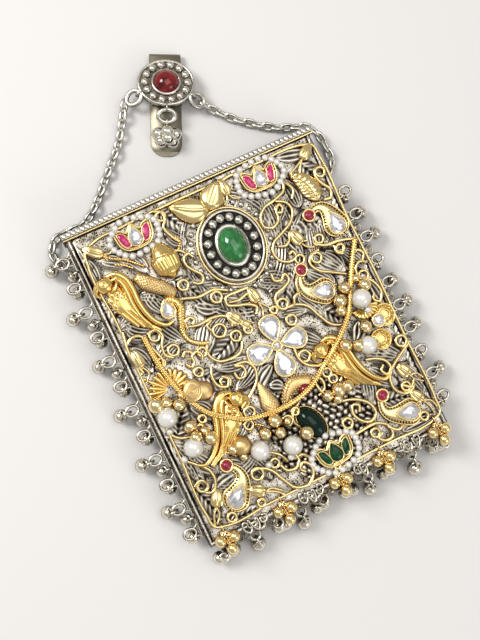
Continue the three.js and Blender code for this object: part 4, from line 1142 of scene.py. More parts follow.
def parrot_parts():
    """One parrot about its own middle, facing left: body, head, beak, eye, collar, double band from the
    head down the back to the tail, wing of rimmed scales and tail feathers."""
    spine = through(PARROT_SPINE, 0.7)
    path, wide = ended_round(spine, profile(spine, np.linspace(0, 1, 6), PARROT_GIRTH))
    made = [tube(lifted(path, 1.6), wide, 0.42 * wide + 0.3, 18)]
    made.append(unit_ball(15, 21)[2] * (3.9, 3.7, 3.3) + (-5.0, 8.8, 2.4))
    beak = through(PARROT_BEAK, 0.4)
    made.append(tube(lifted(beak, 2.4), np.linspace(1.6, 0.3, len(beak)), sides=10))
    made.append(torus((-5.6, 9.2, 5.3), 1.3, 0.42))
    made.append(balls([(-5.6, 9.2, 5.2)], 0.7, 8, 11))
    made.append(tube(through(PARROT_COLLAR, 0.4), 0.6))
    bands = ((PARROT_BACK, 2.5, (0.8, 1.75, 1.45, 0.8)), (PARROT_INNER, 2.9, (0.6, 1.3, 1.1, 0.6)))
    for points, level, radius in bands:
        band = through(points, 0.6)
        fade = profile(band, [0, 0.1, 0.65, 1], radius)
        made.append(tube(lifted(band, level), fade, 1.15 * fade, sides=14))
    for y, first, count in WING_ROWS:
        for x in first + 2.3 * np.arange(count):
            edge = oval(1.45, 1.75, 17, (x, y))
            made += [dome(edge, 2.6 + 0.06 * y, 1.0, 4), hoop(lifted(edge, 3.0 + 0.06 * y), 0.3, sides=6)]
    for foot, tip in FEATHERS:
        rise = np.linspace(3.0, 2.0, 12)
        made.append(tube(lifted(np.linspace(foot, tip, 12), rise), np.linspace(1.25, 0.8, 12), sides=10))
    return made


def parrot(x, y, turn, mirror):
    """A parrot at its place."""
    return [turned(part, turn, (x, y), mirror) for part in parrot_parts()]


GREEN_RADII = np.array([5.8, 8.2])
DARK_STONE = (1.6, -44.0)


def bezel_silver():
    """Oval mount: rim wall, granules standing in its trough, collar round the stone and a second ring of
    granules on the sheet outside it."""
    rim = [(1, 0.2), (1, 2.4), (0.97, 2.8), (0.92, 2.6), (0.9, 1.0), (0.5, 1.0)]
    collar = [(1, 1.0), (1, 2.6), (0.96, 3.3), (0.86, 3.5), (0.82, 3.1), (0.7, 3.1)]
    return [
        stepped(oval(13.9, 16.2, 65, BEZEL), rim),
        hoop(lifted(oval(13.2, 15.5, 65, BEZEL), 2.6), 0.62),
        stepped(oval(7.4, 9.8, 49, BEZEL), collar),
        balls(ring_of(BEZEL, (10.2, 12.6), 16, 2.2), 2.1, 11, 15),
        balls(ring_of(BEZEL, (17.2, 19.8), 30, 0.5), 1.4, 8, 11),
    ]


def bezel_trough():
    """Blackened floor between the rim and the collar."""
    return [stepped(oval(12.6, 14.9, 49, BEZEL), [(1, 0.9), (1, 1.5), (0.6, 1.5)])]


def bezel_gold():
    """Gold wire round the mount and a beaded one round the dark stone."""
    edge = turned(oval(5.2, 8.4, 65), 20, DARK_STONE)
    beads = balls(spaced(lifted(edge, 1.4), 0.95), 0.45, 5, 7)
    wire = hoop(lifted(oval(14.7, 17.1, 73, BEZEL), 1.3), 0.6)
    return [wire, hoop(lifted(edge, 0.9), 0.45, sides=6), beads]


def small_kundan():
    """Small drop by the ringed stem and round white stone in the right rosette. Returns gold and clear
    surfaces."""
    drop_at, round_at = (-33.4, 25.6), (47, -17)
    drop = turned(teardrop(7.0, 5.0, 15) - (4, 0), -95, drop_at)
    collar = turned(teardrop(8.2, 6.2) - (4.6, 0), -95, drop_at)
    gold = [stepped(collar, [(1, 0.6), (1, 2.4), (0.94, 2.6)]), hoop(lifted(collar, 2.6), 0.45)]
    gold.append(stepped(oval(3.0, 3.0, 25, round_at), [(1, 2.0), (1, 4.2), (0.8, 4.3)]))
    gold.append(hoop(lifted(oval(2.8, 2.8, 25, round_at), 4.3), 0.5))
    return gold, [rose_cut(drop, 2.5, 1.4), rose_cut(oval(2.4, 2.4, 13, round_at), 4.2, 1.2)]


def dress_panel():
    """All pieces of the front panel."""
    make("frame_wire", [frame_wire()], GOLD, stands_for=["filigree_frame"])
    make("scroll_wires", scroll_wires(), GOLD)
    make("garland", garland(), RICH_GOLD)
    gold, beads, clear, red = paisleys()
    make("paisley_plates", gold, GOLD, stands_for=list(PAISLEYS))
    make("paisley_dots", beads, DARK_SILVER)
    make("paisley_drops", clear, CLEAR, smooth=False)
    make("paisley_rubies", red, RUBY)
    gold, clear = kundan_flower()
    make("kundan_collars", gold, GOLD, stands_for=["kundan_flower"])
    make("kundan_stones", clear, CLEAR, smooth=False)
    for name, place in LOTUSES.items():
        gold, floor, sides, middle = lotus(*place)
        petals, heart = (PINK, "pink_enamel"), (CLEAR, "clear_stone")
        if name == "lotus_green":
            petals = heart = (EMERALD, "green_stone")
        make(name + "_plate", gold, GOLD, stands_for=[name])
        make(name + "_floor", floor, BROWN_GOLD)
        make(name + "_petals", sides, petals[0])
        make(name + "_heart", middle, heart[0], smooth=False)
    make("seed_pearls", seed_pearls(), PEARL)
    make("large_pearls", round_beads(LARGE_PEARLS), PEARL)
    make("gold_balls", round_beads(GOLD_BALLS), BALL_GOLD)
    make("buds_and_stems", buds_and_stems(), GOLD)
    make("gold_leaves", gold_leaves(), GOLD)
    make("gold_charms", gold_charms(), RICH_GOLD)
    make("matte_charms", matte_charms(), MATTE_GOLD)
    for name, place in PARROTS.items():
        make(name + "_gold", parrot(*place), RICH_GOLD, stands_for=[name])
    make("bezel_mount", bezel_silver(), SILVER, stands_for=["oval_bezel"])
    make("bezel_trough", bezel_trough(), DARK_SILVER)
    make("bezel_wires", bezel_gold(), GOLD)
    green = dome(oval(*GREEN_RADII, 49, BEZEL), 2.9, 4.8, 12)
    make("jade_cabochon", [green], JADE, stands_for=["green_cabochon"])
    dark = dome(turned(oval(4.8, 8.0, 49), 20, DARK_STONE), 0.3, 4.6, 12)
    make("deep_green_cabochon", [dark], DEEP_GREEN, stands_for=["dark_cabochon"])
    make("comma_stone", [round_stone(5, -30, 2.9, 2.6)], GARNET)
    gold, clear = small_kundan()
    make("small_collars", gold, GOLD)
    make("small_clear_stones", clear, CLEAR, smooth=False)


dress_panel()

# Case and lid, from the middle of the case
CASE_HALF = 58.0
CASE_BOTTOM = -72.0
CASE_TOP = 71.7
CASE_CORNER = 1.2
WALL = 0.8
WALL_LOW, WALL_HIGH = 0.85, 15.15
HINGE = np.array([0.0, 73.5, 1.7])
KNUCKLE = 1.5


def wall_height(s, z):
    """Embossing of the walls: a round bead along each edge and a row of upright petals between them."""
    beads = 0.4 * (np.exp(-(((z - 2.0) / 0.55) ** 2)) + np.exp(-(((z - 13.9) / 0.55) ** 2)))
    petal = np.clip(np.cos(FULL * s / 4.0), 0, 1) ** 0.6
    return beads + 0.45 * (petal * np.clip(1 - ((z - 6.2) / 3.1) ** 2, 0, 1) ** 0.5)


def case_walls():
    """Left, bottom and right wall as one band: outwards stands the embossing, the inside is plain."""
    left, low, step = -CASE_HALF, CASE_BOTTOM, 0.62
    bend = 0.3 * CASE_CORNER
    line = [(left, CASE_TOP), (left, low + CASE_CORNER), (left + bend, low + bend)]
    line.append((left + CASE_CORNER, low))
    line += [(-x, y) for x, y in line[::-1]]
    path = spaced(solid_of(line), step)
    s = step * np.arange(len(path))[:, None]
    z = np.linspace(WALL_LOW, WALL_HIGH, 25)[None]
    along = direction_of(path)
    outward = np.cross(along, UP)[:, None]
    rise = wall_height(s, z)
    flat = np.broadcast_to(path[:, None], (*rise.shape, 3)) + z[..., None] * UP
    outer = flat + rise[..., None] * outward
    inner = (flat - WALL * outward)[:, ::-1]
    tone = 0.3 + 0.9 * (rise - softened(rise, 6)) + 0.3 * rise
    ring = np.concatenate([outer, inner, outer[:, :1]], 1)
    tones = np.concatenate([tone, np.full(tone.shape, 0.45), tone[:, :1]], 1)
    ends = [np.broadcast_to(ring[k].mean(0), ring[:1].shape) for k in (0, -1)]
    surface = np.concatenate([ends[0], ring, ends[1]])
    tones = np.concatenate([tones[:1], tones, tones[-1:]])
    return [surface], {"tone": tones, "ground": 0 * tones}


def back_sheet():
    """Plain back with a small bevel, and the hinge knuckles on its upper edge."""
    rim = closed_rectangle(CASE_HALF, CASE_BOTTOM, CASE_TOP, CASE_CORNER)
    made = [stepped(rim, [(0.994, 0.0), (1, 0.25), (1, 0.8)])]
    for side in (-1, 1):
        made.append(tube(HINGE + side * np.linspace(20.3, 40.3, 9)[:, None] * EAST, KNUCKLE, sides=18))
        made.append(bar(np.array([(side * 30.3, 71, 0.45), (side * 30.3, 73.4, 0.45)]), 10, 0.4, EAST))
    return made


def closed_rectangle(half, low, high, corner):
    """Closed rectangle with round corners."""
    a = np.linspace(0, FULL, 41)
    x = np.sign(np.cos(a)) * (half - corner) + corner * np.cos(a)
    middle, tall = (high + low) / 2, (high - low) / 2 - corner
    y = middle + np.sign(np.sin(a)) * tall + corner * np.sin(a)
    y[0] = y[-1] = middle + tall
    return np.stack([x, y], -1)


LID_HALF = 59.2
LID_FRONT = 17.2
LID_TOP = 72.9
LID_SHEET = 0.45


def lid_shell():
    """Lid: a bent sheet over the case's upper end, a skirt at each side, and its knuckle in the hinge."""
    front, top, corner = LID_FRONT - LID_SHEET, LID_TOP - LID_SHEET, 1.0
    near = 0.3 * corner
    bend = [(0, top - corner, front), (0, top - near, front - near), (0, top, front - corner)]
    path = np.array([(0, 69.7, front), *bend, (0, top, 10), (0, top, 3.5)])
    made = [bar(path, LID_HALF, LID_SHEET, EAST)]
    for side in (-1, 1):
        x = side * (LID_HALF - LID_SHEET)
        made.append(bar(np.array([(x, 71.2, 3.5), (x, 71.2, 17.1)]), LID_SHEET, 1.5, EAST))
    made.append(tube(HINGE + np.linspace(-20, 20, 15)[:, None] * EAST, KNUCKLE, sides=18))
    made.append(bar(np.array([(0, 72.6, 4.2), (0, 73.1, 2.6)]), 20, 0.35, EAST))
    return made


def lid_beads():
    """Bar of square beads with rounded corners along the lid's front edge, on a plain strip."""
    low, high = box_mm("lid_trim")
    middle = (low + high) / 2 - CASE
    pitch = 2.15
    count = int((high[0] - low[0]) / pitch)
    x = (np.arange(count) - (count - 1) / 2) * pitch
    ball = unit_ball(9, 13)[2]
    squared = np.sign(ball) * np.abs(ball) ** 0.6
    bead = squared * (0.49 * pitch, 1.05, 0.75)
    beads = bead + (x[:, None, None, None] * EAST + middle)
    strip = bar(middle + np.array([[-LID_HALF, 0, -0.35], [LID_HALF, 0, -0.35]]), 1.2, 0.3, NORTH)
    return [beads, strip]


def lid_wire():
    """Gold wire along the lid's lower front edge."""
    middle = middle_mm("lid_gold_wire") - CASE
    x = np.linspace(-LID_HALF, LID_HALF, 41)[:, None]
    return [tube(middle + x * EAST, 0.42)]


# Looped wires and bells; an edge is its side, loops, inward way, loops with a bell and gaps with one
LOOP_LEVEL = 11.0
LOOP_REACH = 4.6
LOOP = 2.17
LOOP_LONG = 1.28
LOOP_WIRE = 0.68
RAIL_INSET = 0.73
RING_GAP = 0.6
LEFT_LOOPS = [(-CASE_HALF - LOOP_REACH, 62.5 - 11.5 * k) for k in range(12)]
RIGHT_LOOPS = [(CASE_HALF + LOOP_REACH, 41.0 - 11.2 * k) for k in range(10)]
BOTTOM_LOOPS = [(-49.5 + 11.0 * k, CASE_BOTTOM - LOOP_REACH) for k in range(10)]
EDGES = [
    ("left", LEFT_LOOPS, (1, 0), (1, 3, 5, 7, 9, 11), (0, 2, 4, 6, 8, 10)),
    ("right", RIGHT_LOOPS, (-1, 0), (0, 3, 7, 9), (1, 2, 4, 5, 6, 8)),
    ("bottom", BOTTOM_LOOPS, (0, 1), (0, 2, 4, 5, 7, 9), (0, 1, 4, 7, 8)),
]


def looped_wire(loops, inward):
    """Rail along a wall with a ring standing out at each loop, the ring's shank bent back to the rail."""
    loops = np.array(loops)
    inward = np.array(inward, float)
    along = np.array([-inward[1], inward[0]])
    wall = loops + inward * (LOOP_REACH - RAIL_INSET)
    ends = np.array([wall[0] + (wall[0] - wall[1]) * 0.23, wall[-1] + (wall[-1] - wall[-2]) * 0.23])
    rail = lifted(np.linspace(ends[0], ends[1], 61), LOOP_LEVEL)
    long_side = LOOP_LONG if inward[0] else 1.0
    made = [tube(rail, LOOP_WIRE)]
    for centre, root in zip(loops, wall):
        ring = oval(LOOP * long_side, LOOP, 27, centre - (LOOP * (long_side - 1)) * inward)
        made.append(hoop(lifted(ring, LOOP_LEVEL), LOOP_WIRE))
        for side in (-1, 1):
            start = centre + inward * 0.9 + along * side * LOOP * 0.9
            shank = [start, start + inward * 1.6, root + along * side * 3.2]
            made.append(tube(lifted(through(shank, 0.3), LOOP_LEVEL), 0.45, sides=7))
    return made


BELL = 2.75
BELL_DROP = 3.55
FIRST_BELL, FIRST_DROP = 3.15, 4.2
NEXT_BELL, NEXT_DROP = 2.8, 3.7
NEXT_SIDE = 3.4
NEXT_LOWER = 0.6


def bell(radius=BELL, drop=BELL_DROP, rows=21, cols=33):
    """Round bell hanging from an eye on the origin: a ball with shallow ribs, a ridge round its middle, a
    slit across its lower half, a small cap and a wire eye."""
    lat, lon, ball = unit_ball(rows, cols)
    ridge = 0.07 * np.exp(-((lat / 0.13) ** 2))
    ribs = 0.045 * np.cos(10 * lon) * np.cos(lat)
    slit = 0.3 * np.exp(-((ball[..., 1] / 0.13) ** 2)) * (ball[..., 2] < -0.25)
    shell = radius * (1 + ridge + ribs - slit)[..., None] * ball - UP * drop
    cap = np.stack([-UP * (drop - 0.9 * radius), -UP * (drop - 1.15 * radius)])
    eye = torus((0, 0, 0), 1.15, 0.34, NORTH, UP, 17, 7)
    return [shell, tube(cap, 0.28 * radius, sides=12, across=EAST), eye]


def moved(surfaces, place):
    """The same surfaces at another place."""
    return [surface + np.asarray(place, float) for surface in surfaces]


def linked_rings(start, outward, number, size):
    """Two linked rings that hang outwards from a point, the first upright and the second flat, with a
    small bell below the second. Returns rings and bell."""
    along = np.cross(UP, outward)
    fall = np.radians(52 + 12 * np.sin(2.1 * number))
    hang = np.cos(fall) * outward - np.sin(fall) * UP
    rise = np.cross(hang, along)
    sway = along + 0.25 * np.sin(3.3 * number) * rise
    first = start + 0.5 * size * hang
    second = first + 1.5 * size * hang
    upright = torus(first, size, 0.6, hang, rise, 19, 7)
    flat = torus(second, 1.1 * size, 0.62, hang, sway, 21, 7)
    small = bell(1.35 * size, 0.0, 13, 21)[:1]
    return [upright, flat], moved(small, second + 0.5 * size * hang - 0.8 * size * UP)


def spare_rings(loops, inward, held, gaps):
    """Linked rings in each loop without a swinging bell, and smaller ones on the rail in the gaps no bell
    sweeps. Returns rings and bells."""
    loop_size, gap_size = (2.1, 1.8) if inward[0] else (2.35, 1.25)
    outward = -np.array([*inward, 0.0])
    places = np.array([(x, y, LOOP_LEVEL) for x, y in loops])
    hung = []
    for number, place in enumerate(places):
        if number not in held:
            hung.append(linked_rings(place + (LOOP + RING_GAP) * outward, outward, number, loop_size))
    for number in gaps:
        rail = (places[number] + places[number + 1]) / 2 - (LOOP_REACH - RAIL_INSET) * outward
        hung.append(linked_rings(rail + RING_GAP * outward, outward, number + 0.5, gap_size))
    rings = [ring for pair, _ in hung for ring in pair]
    return rings, [small for _, bells in hung for small in bells]


def hinge_of(node):
    """Place of the swing axis of a bell or drop, from its joint."""
    joint = next(j for j in frame["joints"] if j["name"] == node + "_swing")
    return np.array(joint["pos_m"]) / MM - CASE


def dress_bells():
    """Every bell rides on its own body; those along the bottom hang in pairs, and in threes at the
    corners."""
    for side, count in (("left", 6), ("right", 4), ("bottom", 6)):
        for number in range(1, count + 1):
            node = f"bell_{side}_{number}"
            place = hinge_of(node)
            made = moved(bell(), place)
            if side == "bottom":
                lean = -NEXT_SIDE if number % 2 else NEXT_SIDE
                beside = [place + (share * lean, -NEXT_LOWER, -NEXT_LOWER) for share in (1, 1.5, 2)]
                made = moved(bell(FIRST_BELL, FIRST_DROP), place)
                made += moved(bell(NEXT_BELL, NEXT_DROP), beside[0])
                if number in (1, count):
                    made.append(torus(beside[1], 1.9, 0.45, EAST, NORTH, 19, 7))
                    made += moved(bell(NEXT_BELL, NEXT_DROP), beside[2])
            make(node + "_silver", made, BELL_SILVER, node, CASE, [node])


# Gold drops below the frame wire, balls as steps from their eye, and curls of wire beside them
DROP_BALLS = [(-3.0, -4.7), (3.0, -5.2), (0.3, -9.4)]
DROP_LEVEL = 2.5
DROP_BALL = 2.55
DROP_ROOM = 8.7
CURL_WIRE = 0.52
CURL_HALF = 1.8


def gold_drop(x):
    """Three gold balls with caps on wire stems below one eye, and small rings between them."""
    eye = np.array([x, FRAME_BOTTOM, FRAME_LEVEL])
    made = [torus(eye, 1.3, 0.36, NORTH, UP, 17, 7)]
    foot = eye + (0, -1.4, 0.2)
    for number, (dx, dy) in enumerate(DROP_BALLS):
        centre = np.array([x + dx, FRAME_BOTTOM + dy, DROP_LEVEL])
        made.append(balls(centre, DROP_BALL, 13, 19)[0])
        outward = unit(foot - centre)
        made.append(tube(np.stack([centre + 2.0 * outward, centre + 2.9 * outward]), 0.7, sides=10))
        made.append(tube(np.linspace(centre + 2.0 * outward, foot, 5), 0.32, sides=6))
        slant = NORTH + 0.3 * (number - 1) * UP
        made.append(torus(centre + 3.2 * outward + (0, 0, 0.4), 0.95, 0.3, EAST, slant, 13, 6))
    return made


def curled_wire(first, last, pitch, middle, deep, level, phase):
    """Wire along the bottom edge that goes round in ovals on its way from first to last; their size and
    place go up and down as slow sines."""
    turns = 1.5 + (last - first) / pitch
    t = np.linspace(0, 1, int(24 * turns))
    turn = FULL * turns * t + phase
    wide = CURL_HALF * (0.72 + 0.28 * np.sin(0.61 * turn))
    tall = deep * (0.8 + 0.35 * np.sin(0.37 * turn + phase))
    x = first + (last - first) * t + wide * np.cos(turn)
    y = middle + 0.6 * np.sin(0.23 * turn) + tall * np.sin(turn)
    z = level + 0.45 * np.sin(0.5 * turn)
    return tube(np.stack([x, y, z], 1), CURL_WIRE)


def dress_drops():
    """Gold drops below the frame wire, curled wire between them and darker curls below."""
    nodes = [f"gold_drop_{number}" for number in range(1, 6)]
    places = [hinge_of(node)[0] + CASE[0] - PANEL[0] for node in nodes]
    for node, x in zip(nodes, places):
        make(node + "_gold", gold_drop(x), GOLD, node, PANEL, [node])
    curls = []
    for number, (left, right) in enumerate(zip(places[:-1], places[1:])):
        ends = left + DROP_ROOM, right - DROP_ROOM
        curls.append(curled_wire(*ends, pitch=2.5, middle=-71.5, deep=2.4, level=0.9, phase=number))
    make("edge_curls", curls, EDGE_SILVER)
    dark = curled_wire(-54, 54, pitch=2.7, middle=-74.0, deep=1.8, level=-2.3, phase=0.0)
    make("dark_curls", [dark], STRIP_SILVER)


def dress_case():
    """All pieces of the case, its lid, edges, bells and drops."""
    surfaces, marks = case_walls()
    walls = ["left_wall", "bottom_wall", "right_wall"]
    make("case_walls", surfaces, EMBOSSED, origin=CASE, stands_for=walls, marks=marks)
    make("back_sheet", back_sheet(), SILVER, origin=CASE, stands_for=["back_plate"])
    make("lid_shell", lid_shell(), DARK_SILVER, "lid", CASE, ["lid_cap"])
    make("lid_beads", lid_beads(), SILVER, "lid", CASE, ["lid_trim"])
    make("lid_wire", lid_wire(), GOLD, "lid", CASE, ["lid_gold_wire"])
    for side, loops, inward, held, gaps in EDGES:
        rings, bells = spare_rings(loops, inward, held, gaps)
        wire = looped_wire(loops, inward) + rings
        nodes = ["edge_wire_" + side]
        make("looped_wire_" + side, wire, EDGE_SILVER, origin=CASE, stands_for=nodes)
        make("small_bells_" + side, bells, BELL_SILVER, origin=CASE)
    dress_bells()
    dress_drops()


dress_case()

# Belt hook: places in its own frame, whose middle is the badge's, with +Y towards the strip's fold
HOOK = np.array([11.65, 117.8])
HOOK_TURN = -23.95
TILT = np.radians(8)
BADGE_LEVEL = 6.192
BADGE = (12.0, 10.3)
BADGE_RIM = (12.8, 11.1)
STRIP_HALF = 7.0
STRIP_ROUND = 6.0
STRIP_SHEET = 0.9
EYE_OUT = 1.3
EYE_RISE = 0.8
HOOK_WIRE = 1.1
HOOK_DROOP = np.radians(28)
RING_TURNS = {"hook_ring_left": 204.0, "hook_ring_right": -27.5, "hook_bell_ring": 270.0}


def on_hook(surfaces):
    """Surfaces of the hook's own frame, turned and shifted to the place where it lies."""
    return [turned(surface, HOOK_TURN, HOOK) for surface in surfaces]


def on_badge(surfaces):
    """Surfaces of the badge's frame, tilted with the strip's front leg, in the case's frame."""
    tilted = []
    for surface in surfaces:
        x, y, z = np.moveaxis(surface, -1, 0)
        ahead = y * np.cos(TILT) + z * np.sin(TILT)
        rise = BADGE_LEVEL - y * np.sin(TILT) + z * np.cos(TILT)
        tilted.append(np.stack([x, ahead, rise], -1))
    return on_hook(tilted)


def badge_eye(degrees):
    """Outward direction and middle of the eye on the badge's rim at an angle."""
    angle = np.radians(degrees)
    out = np.array([np.cos(angle), np.sin(angle), 0])
    rim = BADGE[0] * BADGE[1] / np.hypot(BADGE[1] * np.cos(angle), BADGE[0] * np.sin(angle))
    return out, (rim + EYE_OUT) * out + EYE_RISE * UP


def hook_badge():
    """Oval badge: plate, rim wire, ring of granules, collar round the stone and three eyes on its rim."""
    made = [stepped(oval(*BADGE_RIM, 49), [(1, 0.0), (1, 1.2), (0.97, 1.6), (0.9, 1.3), (0.3, 1.3)])]
    made.append(hoop(lifted(oval(BADGE_RIM[0] - 0.6, BADGE_RIM[1] - 0.6, 49), 1.7), 0.65))
    made.append(balls(ring_of((0, 0), (9.4, 8.4), 14, 1.9), 1.9, 11, 15))
    made.append(stepped(oval(6.7, 6.4, 41), [(1, 1.2), (1, 2.4), (0.95, 2.9), (0.86, 2.9), (0.82, 2.4)]))
    for degrees in RING_TURNS.values():
        out, eye = badge_eye(degrees)
        made.append(torus(eye, 1.6, 0.45, out, UP, 17, 7))
    return on_badge(made)


def badge_floor():
    """Dull floor under the badge's granules."""
    edge = oval(BADGE_RIM[0] - 1.0, BADGE_RIM[1] - 1.0, 49)
    return on_badge([stepped(edge, [(1, 1.0), (1, 1.55), (0.5, 1.55)])])


def hook_ring(name):
    """Oval ring of wire through one eye of the badge, hanging a little; middle, along and across are its
    place and half sizes, measured from the eye."""
    level, eye = badge_eye(RING_TURNS[name])
    out = np.cos(HOOK_DROOP) * level - np.sin(HOOK_DROOP) * UP
    side = np.cross(UP, level)
    middle, along, across = (3.55, 2.75, 3.7) if name == "hook_bell_ring" else (3.0, 3.7, 3.0)
    a = np.linspace(0, FULL, 33)[:, None]
    line = eye + (middle + along * np.cos(a)) * out + across * np.sin(a) * side
    return on_badge([hoop(line, HOOK_WIRE, sides=11)])


def hook_strip():
    """Belt strip: a band bent back on itself in a round fold, its front leg rising with the tilt, its
    back leg ending in a half round; its edges are bevelled, and its width closes in at that end."""
    sheet, fold, fold_at, back, front = STRIP_SHEET, 2.0, 13.3, 44.5, 23.5
    middle = fold - sheet / 2
    a = np.linspace(-np.pi / 2, np.pi / 2 - TILT, 15)
    bend = np.stack([0 * a, fold_at + middle * np.cos(a), fold + middle * np.sin(a)], -1)
    leg = bend[-1] + front * np.array([0, -np.cos(TILT), np.sin(TILT)])
    turn = np.linspace(0, np.pi / 2, 15)
    tip = fold_at - back + STRIP_ROUND * (1 - np.sin(turn[::-1]))
    end = np.stack([0 * turn, tip, 0 * turn + sheet / 2], -1)
    path = np.concatenate([end, bend, [leg]])
    half = np.full(len(path), STRIP_HALF)
    half[: len(turn)] = STRIP_HALF - STRIP_ROUND * (1 - np.cos(turn[::-1]))
    along = direction_of(path)
    up = np.cross(along, EAST)
    near = [(1, -0.6), (1, 0.6), (0.98, 1)]
    section = [*near, *[(-u, v) for u, v in near[::-1]], (-0.98, -1), (0.98, -1), near[0]]
    rows = [path + u * half[:, None] * EAST + v * sheet / 2 * up for u, v in section]
    ring = np.stack(rows, 1)
    ends = np.repeat(path[[0, -1], None], ring.shape[1], 1)
    return on_hook([np.concatenate([ends[:1], ring, ends[1:]])])


HOOK_BELLS = [
    (-3.9, -4.7, 0.0), (3.9, -4.9, 0.0), (-2.5, -8.3, 0.3), (2.5, -8.4, 0.3), (0.1, -4.9, 3.9),
    (0.3, -7.9, 4.3),
]
HOOK_BELL = 2.9


def hook_bells(pivot):
    """Six round bells below the middle ring, on wire stems from one eye."""
    made = [torus((0, 0, 0), 1.45, 0.36, NORTH, UP, 17, 7)]
    foot = np.array([0, -1.4, 0])
    level = STRIP_SHEET + HOOK_BELL + 0.1 - pivot[2]
    x, y, z = np.moveaxis(bell(HOOK_BELL, 0.0, 17, 25)[0], -1, 0)
    lying = np.stack([x, z, -y], -1)
    for east, north, lift in HOOK_BELLS:
        centre = np.array([east, north, level + lift])
        made.append(lying + centre)
        made.append(tube(np.linspace(foot, centre + 2.6 * unit(foot - centre), 6), 0.5, sides=7))
    return [turned(part, HOOK_TURN, pivot[:2]) + pivot[2] * UP for part in made]


# Chains from the lugs on the walls to the badge's rings; lugs as x and y
LEFT_CHAIN = [
    (-63.7, 64.3, 2.4), (-65.2, 66.4, 2.4), (-65.2, 69.8, 2.4), (-63.4, 73.4, 2.4), (-59.0, 75.7, 2.4),
    (-53.6, 75.7, 2.4), (-48.8, 76.0, 2.4), (-44.4, 77.8, 2.4), (-40.0, 81.2, 2.4), (-35.7, 85.1, 2.4),
    (-31.4, 89.6, 2.4), (-27.2, 93.8, 2.4), (-22.9, 98.1, 2.4), (-18.6, 102.6, 2.5), (-15.2, 107.4, 2.9),
    (-12.1, 112.2, 3.6), (-9.1, 116.8, 4.5),
]
RIGHT_CHAIN = [
    (63.2, 53.0, 2.4), (65.4, 54.0, 2.4), (66.6, 57.2, 2.4), (67.0, 62.0, 2.4), (66.8, 67.0, 2.4),
    (65.6, 72.0, 2.4), (62.4, 75.8, 2.4), (57.6, 77.9, 2.4), (52.4, 79.8, 2.4), (47.4, 82.4, 2.4),
    (42.6, 85.6, 2.4), (38.0, 89.0, 2.4), (33.6, 92.6, 2.4), (29.6, 96.6, 2.6), (26.4, 100.2, 3.4),
    (24.3, 103.0, 4.1),
]
LINK_LONG, LINK_WIDE, LINK_WIRE = 2.95, 1.6, 0.76
LINK_PITCH = 2 * (LINK_LONG - LINK_WIRE)
LUGS = ((-60.5, 64), (60.5, 53))
LUG_LEVEL = 2.4
LUG_REACH = 2.0


def chain_links(path):
    """Oval links of round wire at equal steps along a line, each turned a quarter from the one before."""
    centres = spaced(path, LINK_PITCH)
    along = direction_of(centres)
    flat = unit(np.cross(UP, along))
    up = np.cross(along, flat)
    quarter = np.where(np.arange(len(centres)) % 2, 1.0, -1.0)[:, None]
    across = unit(flat + quarter * up)
    normal = np.cross(along, across)
    a = np.linspace(0, FULL, 19)[None, :, None, None]
    b = np.linspace(0, FULL, 8)[None, None, :, None]
    ahead, beside, over = (v[:, None, None] for v in (along, across, normal))
    middle = LINK_LONG * np.cos(a) * ahead + LINK_WIDE * np.sin(a) * beside
    out = unit(np.cos(a) / LINK_LONG * ahead + np.sin(a) / LINK_WIDE * beside)
    return centres[:, None, None] + middle + LINK_WIRE * (np.cos(b) * out + np.sin(b) * over)


def dress_chain(node, route, exit_at, **facts):
    """Chain piece of oval links along its route."""
    path = through(route, 0.5)
    links = [chain_links(path)]
    chain = make(node + "_links", links, CHAIN_SILVER, origin=CASE, stands_for=[node])
    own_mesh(chain)


def dress_hook():
    """Hook, its stone, rings and bells, and the two chains that hold it."""
    stone = on_badge([dome(oval(5.7, 5.5, 41), 1.9, 4.6, 11)])
    rigid = [
        ("belt_strip", hook_strip(), STRIP_SILVER, ["hook_strip"], "silver"),
        ("badge", hook_badge(), SILVER, ["hook_disc"], "silver"),
        ("badge_floor", badge_floor(), STRIP_SILVER, [], "silver"),
        ("garnet_cabochon", stone, GARNET, ["hook_cabochon"], "red_stone"),
    ]
    rigid += [(name + "_wire", hook_ring(name), SILVER, [name], "silver") for name in RING_TURNS]
    pieces = []
    for name, made, finish, nodes, slot in rigid:
        pieces.append(make(name, made, finish, "bag", CASE, nodes))
    bells = hook_bells(hinge_of("hook_bells"))
    swinging = make("hook_bells_silver", bells, PALE_SILVER, "hook_bells", CASE, ["hook_bells"])
    lugs = [torus((x, y, LUG_LEVEL), 1.75, 0.5, EAST, UP, 21, 8) for x, y in LUGS]
    nodes = ["chain_lug_left", "chain_lug_right"]
    make("chain_lugs", lugs, SILVER, origin=CASE, stands_for=nodes)
    (left, left_y), (right, right_y) = LUGS
    left_exit, right_exit = (left - LUG_REACH, left_y, LUG_LEVEL), (right + LUG_REACH, right_y, LUG_LEVEL)
    dress_chain("chain_left", LEFT_CHAIN, left_exit, far_end="fitting", with_pieces=[*pieces, swinging])
    dress_chain("chain_right", RIGHT_CHAIN, right_exit, far_end="object")


dress_hook()

# The hinge pin keeps its CAD shape
PIN = bpy.data.objects["hinge_pin"]
PIN.data.materials.clear()
PIN.data.materials.append(SILVER)

# Camera: focus and height in pixels of the photograph, place in millimetres from the frame wire's middle
CAMERA_FOCUS_PX = 900
IMAGE_HEIGHT = 640
CAMERA_FROM_PANEL = np.array([-66.05, 0.71, 379.45])
CAMERA_RIGHT = (0.89334, -0.43048, 0.12896)
CAMERA_DOWN = (-0.42265, -0.90236, -0.08434)
CAMERA_FORWARD = (0.15268, 0.02084, -0.98806)


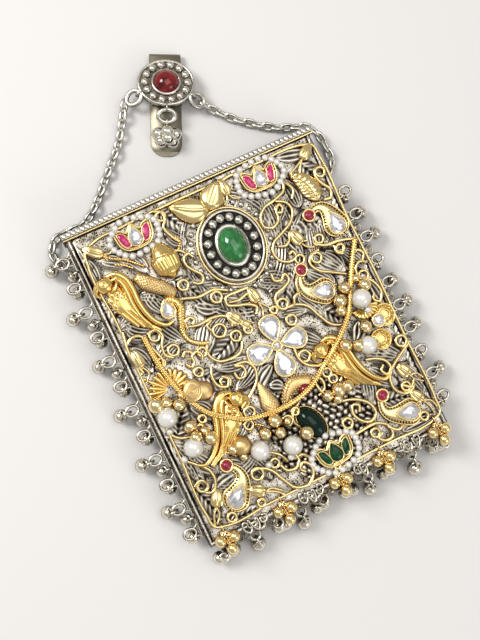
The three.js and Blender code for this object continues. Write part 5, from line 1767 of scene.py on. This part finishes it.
def photograph_camera():
    """Camera at the photograph's place over the panel's frame wire."""
    lens = bpy.data.cameras.new("camera")
    lens.sensor_width = 36
    lens.lens = CAMERA_FOCUS_PX * lens.sensor_width / IMAGE_HEIGHT
    lens.clip_start = 0.01
    place = np.eye(4)
    place[:3, :3] = np.stack([CAMERA_RIGHT, -np.array(CAMERA_DOWN), -np.array(CAMERA_FORWARD)], -1)
    place[:3, 3] = (FRAME_MIDDLE + CAMERA_FROM_PANEL) * MM
    camera = bpy.data.objects.new("camera", lens)
    camera.matrix_world = Matrix(place.tolist())
    bpy.context.scene.collection.objects.link(camera)
    bpy.context.scene.camera = camera


def soft_lamp(name, place, size, power):
    """Square soft lamp aimed at the middle of the bag, in metres."""
    light = bpy.data.lights.new(name, "AREA")
    light.size = size
    light.energy = power
    forward = unit(-np.array(place, float))
    side = unit(np.cross(forward, UP))
    pose = np.eye(4)
    pose[:3] = np.stack([side, np.cross(side, forward), -forward, place], -1)
    lamp = bpy.data.objects.new(name, light)
    lamp.matrix_world = Matrix(pose.tolist())
    bpy.context.scene.collection.objects.link(lamp)


def studio():
    """Pale floor, dim even surroundings and three soft lamps."""
    floor = bpy.data.meshes.new("floor")
    reach = 3.0
    corners = [(-reach, -reach, 0), (reach, -reach, 0), (reach, reach, 0), (-reach, reach, 0)]
    floor.from_pydata(corners, [], [(0, 1, 2, 3)])
    floor.materials.append(new_finish("pale_floor", (0.85, 0.825, 0.8), 0.0, 0.8))
    ground = bpy.data.objects.new("floor", floor)
    bpy.context.scene.collection.objects.link(ground)
    world = bpy.data.worlds.new("surroundings")
    world.use_nodes = True
    surroundings = world.node_tree.nodes["Background"]
    surroundings.inputs["Color"].default_value = (1.0, 0.985, 0.96, 1)
    surroundings.inputs["Strength"].default_value = 0.4
    bpy.context.scene.world = world
    soft_lamp("window", (-0.45, 0.5, 0.75), 0.34, 5.3)
    soft_lamp("overhead", (0.16, 0.04, 0.95), 0.66, 2.25)
    soft_lamp("fill", (0.3, -0.7, 0.5), 0.4, 1.2)
    bpy.context.scene.view_settings.view_transform = "Standard"


photograph_camera()
studio()
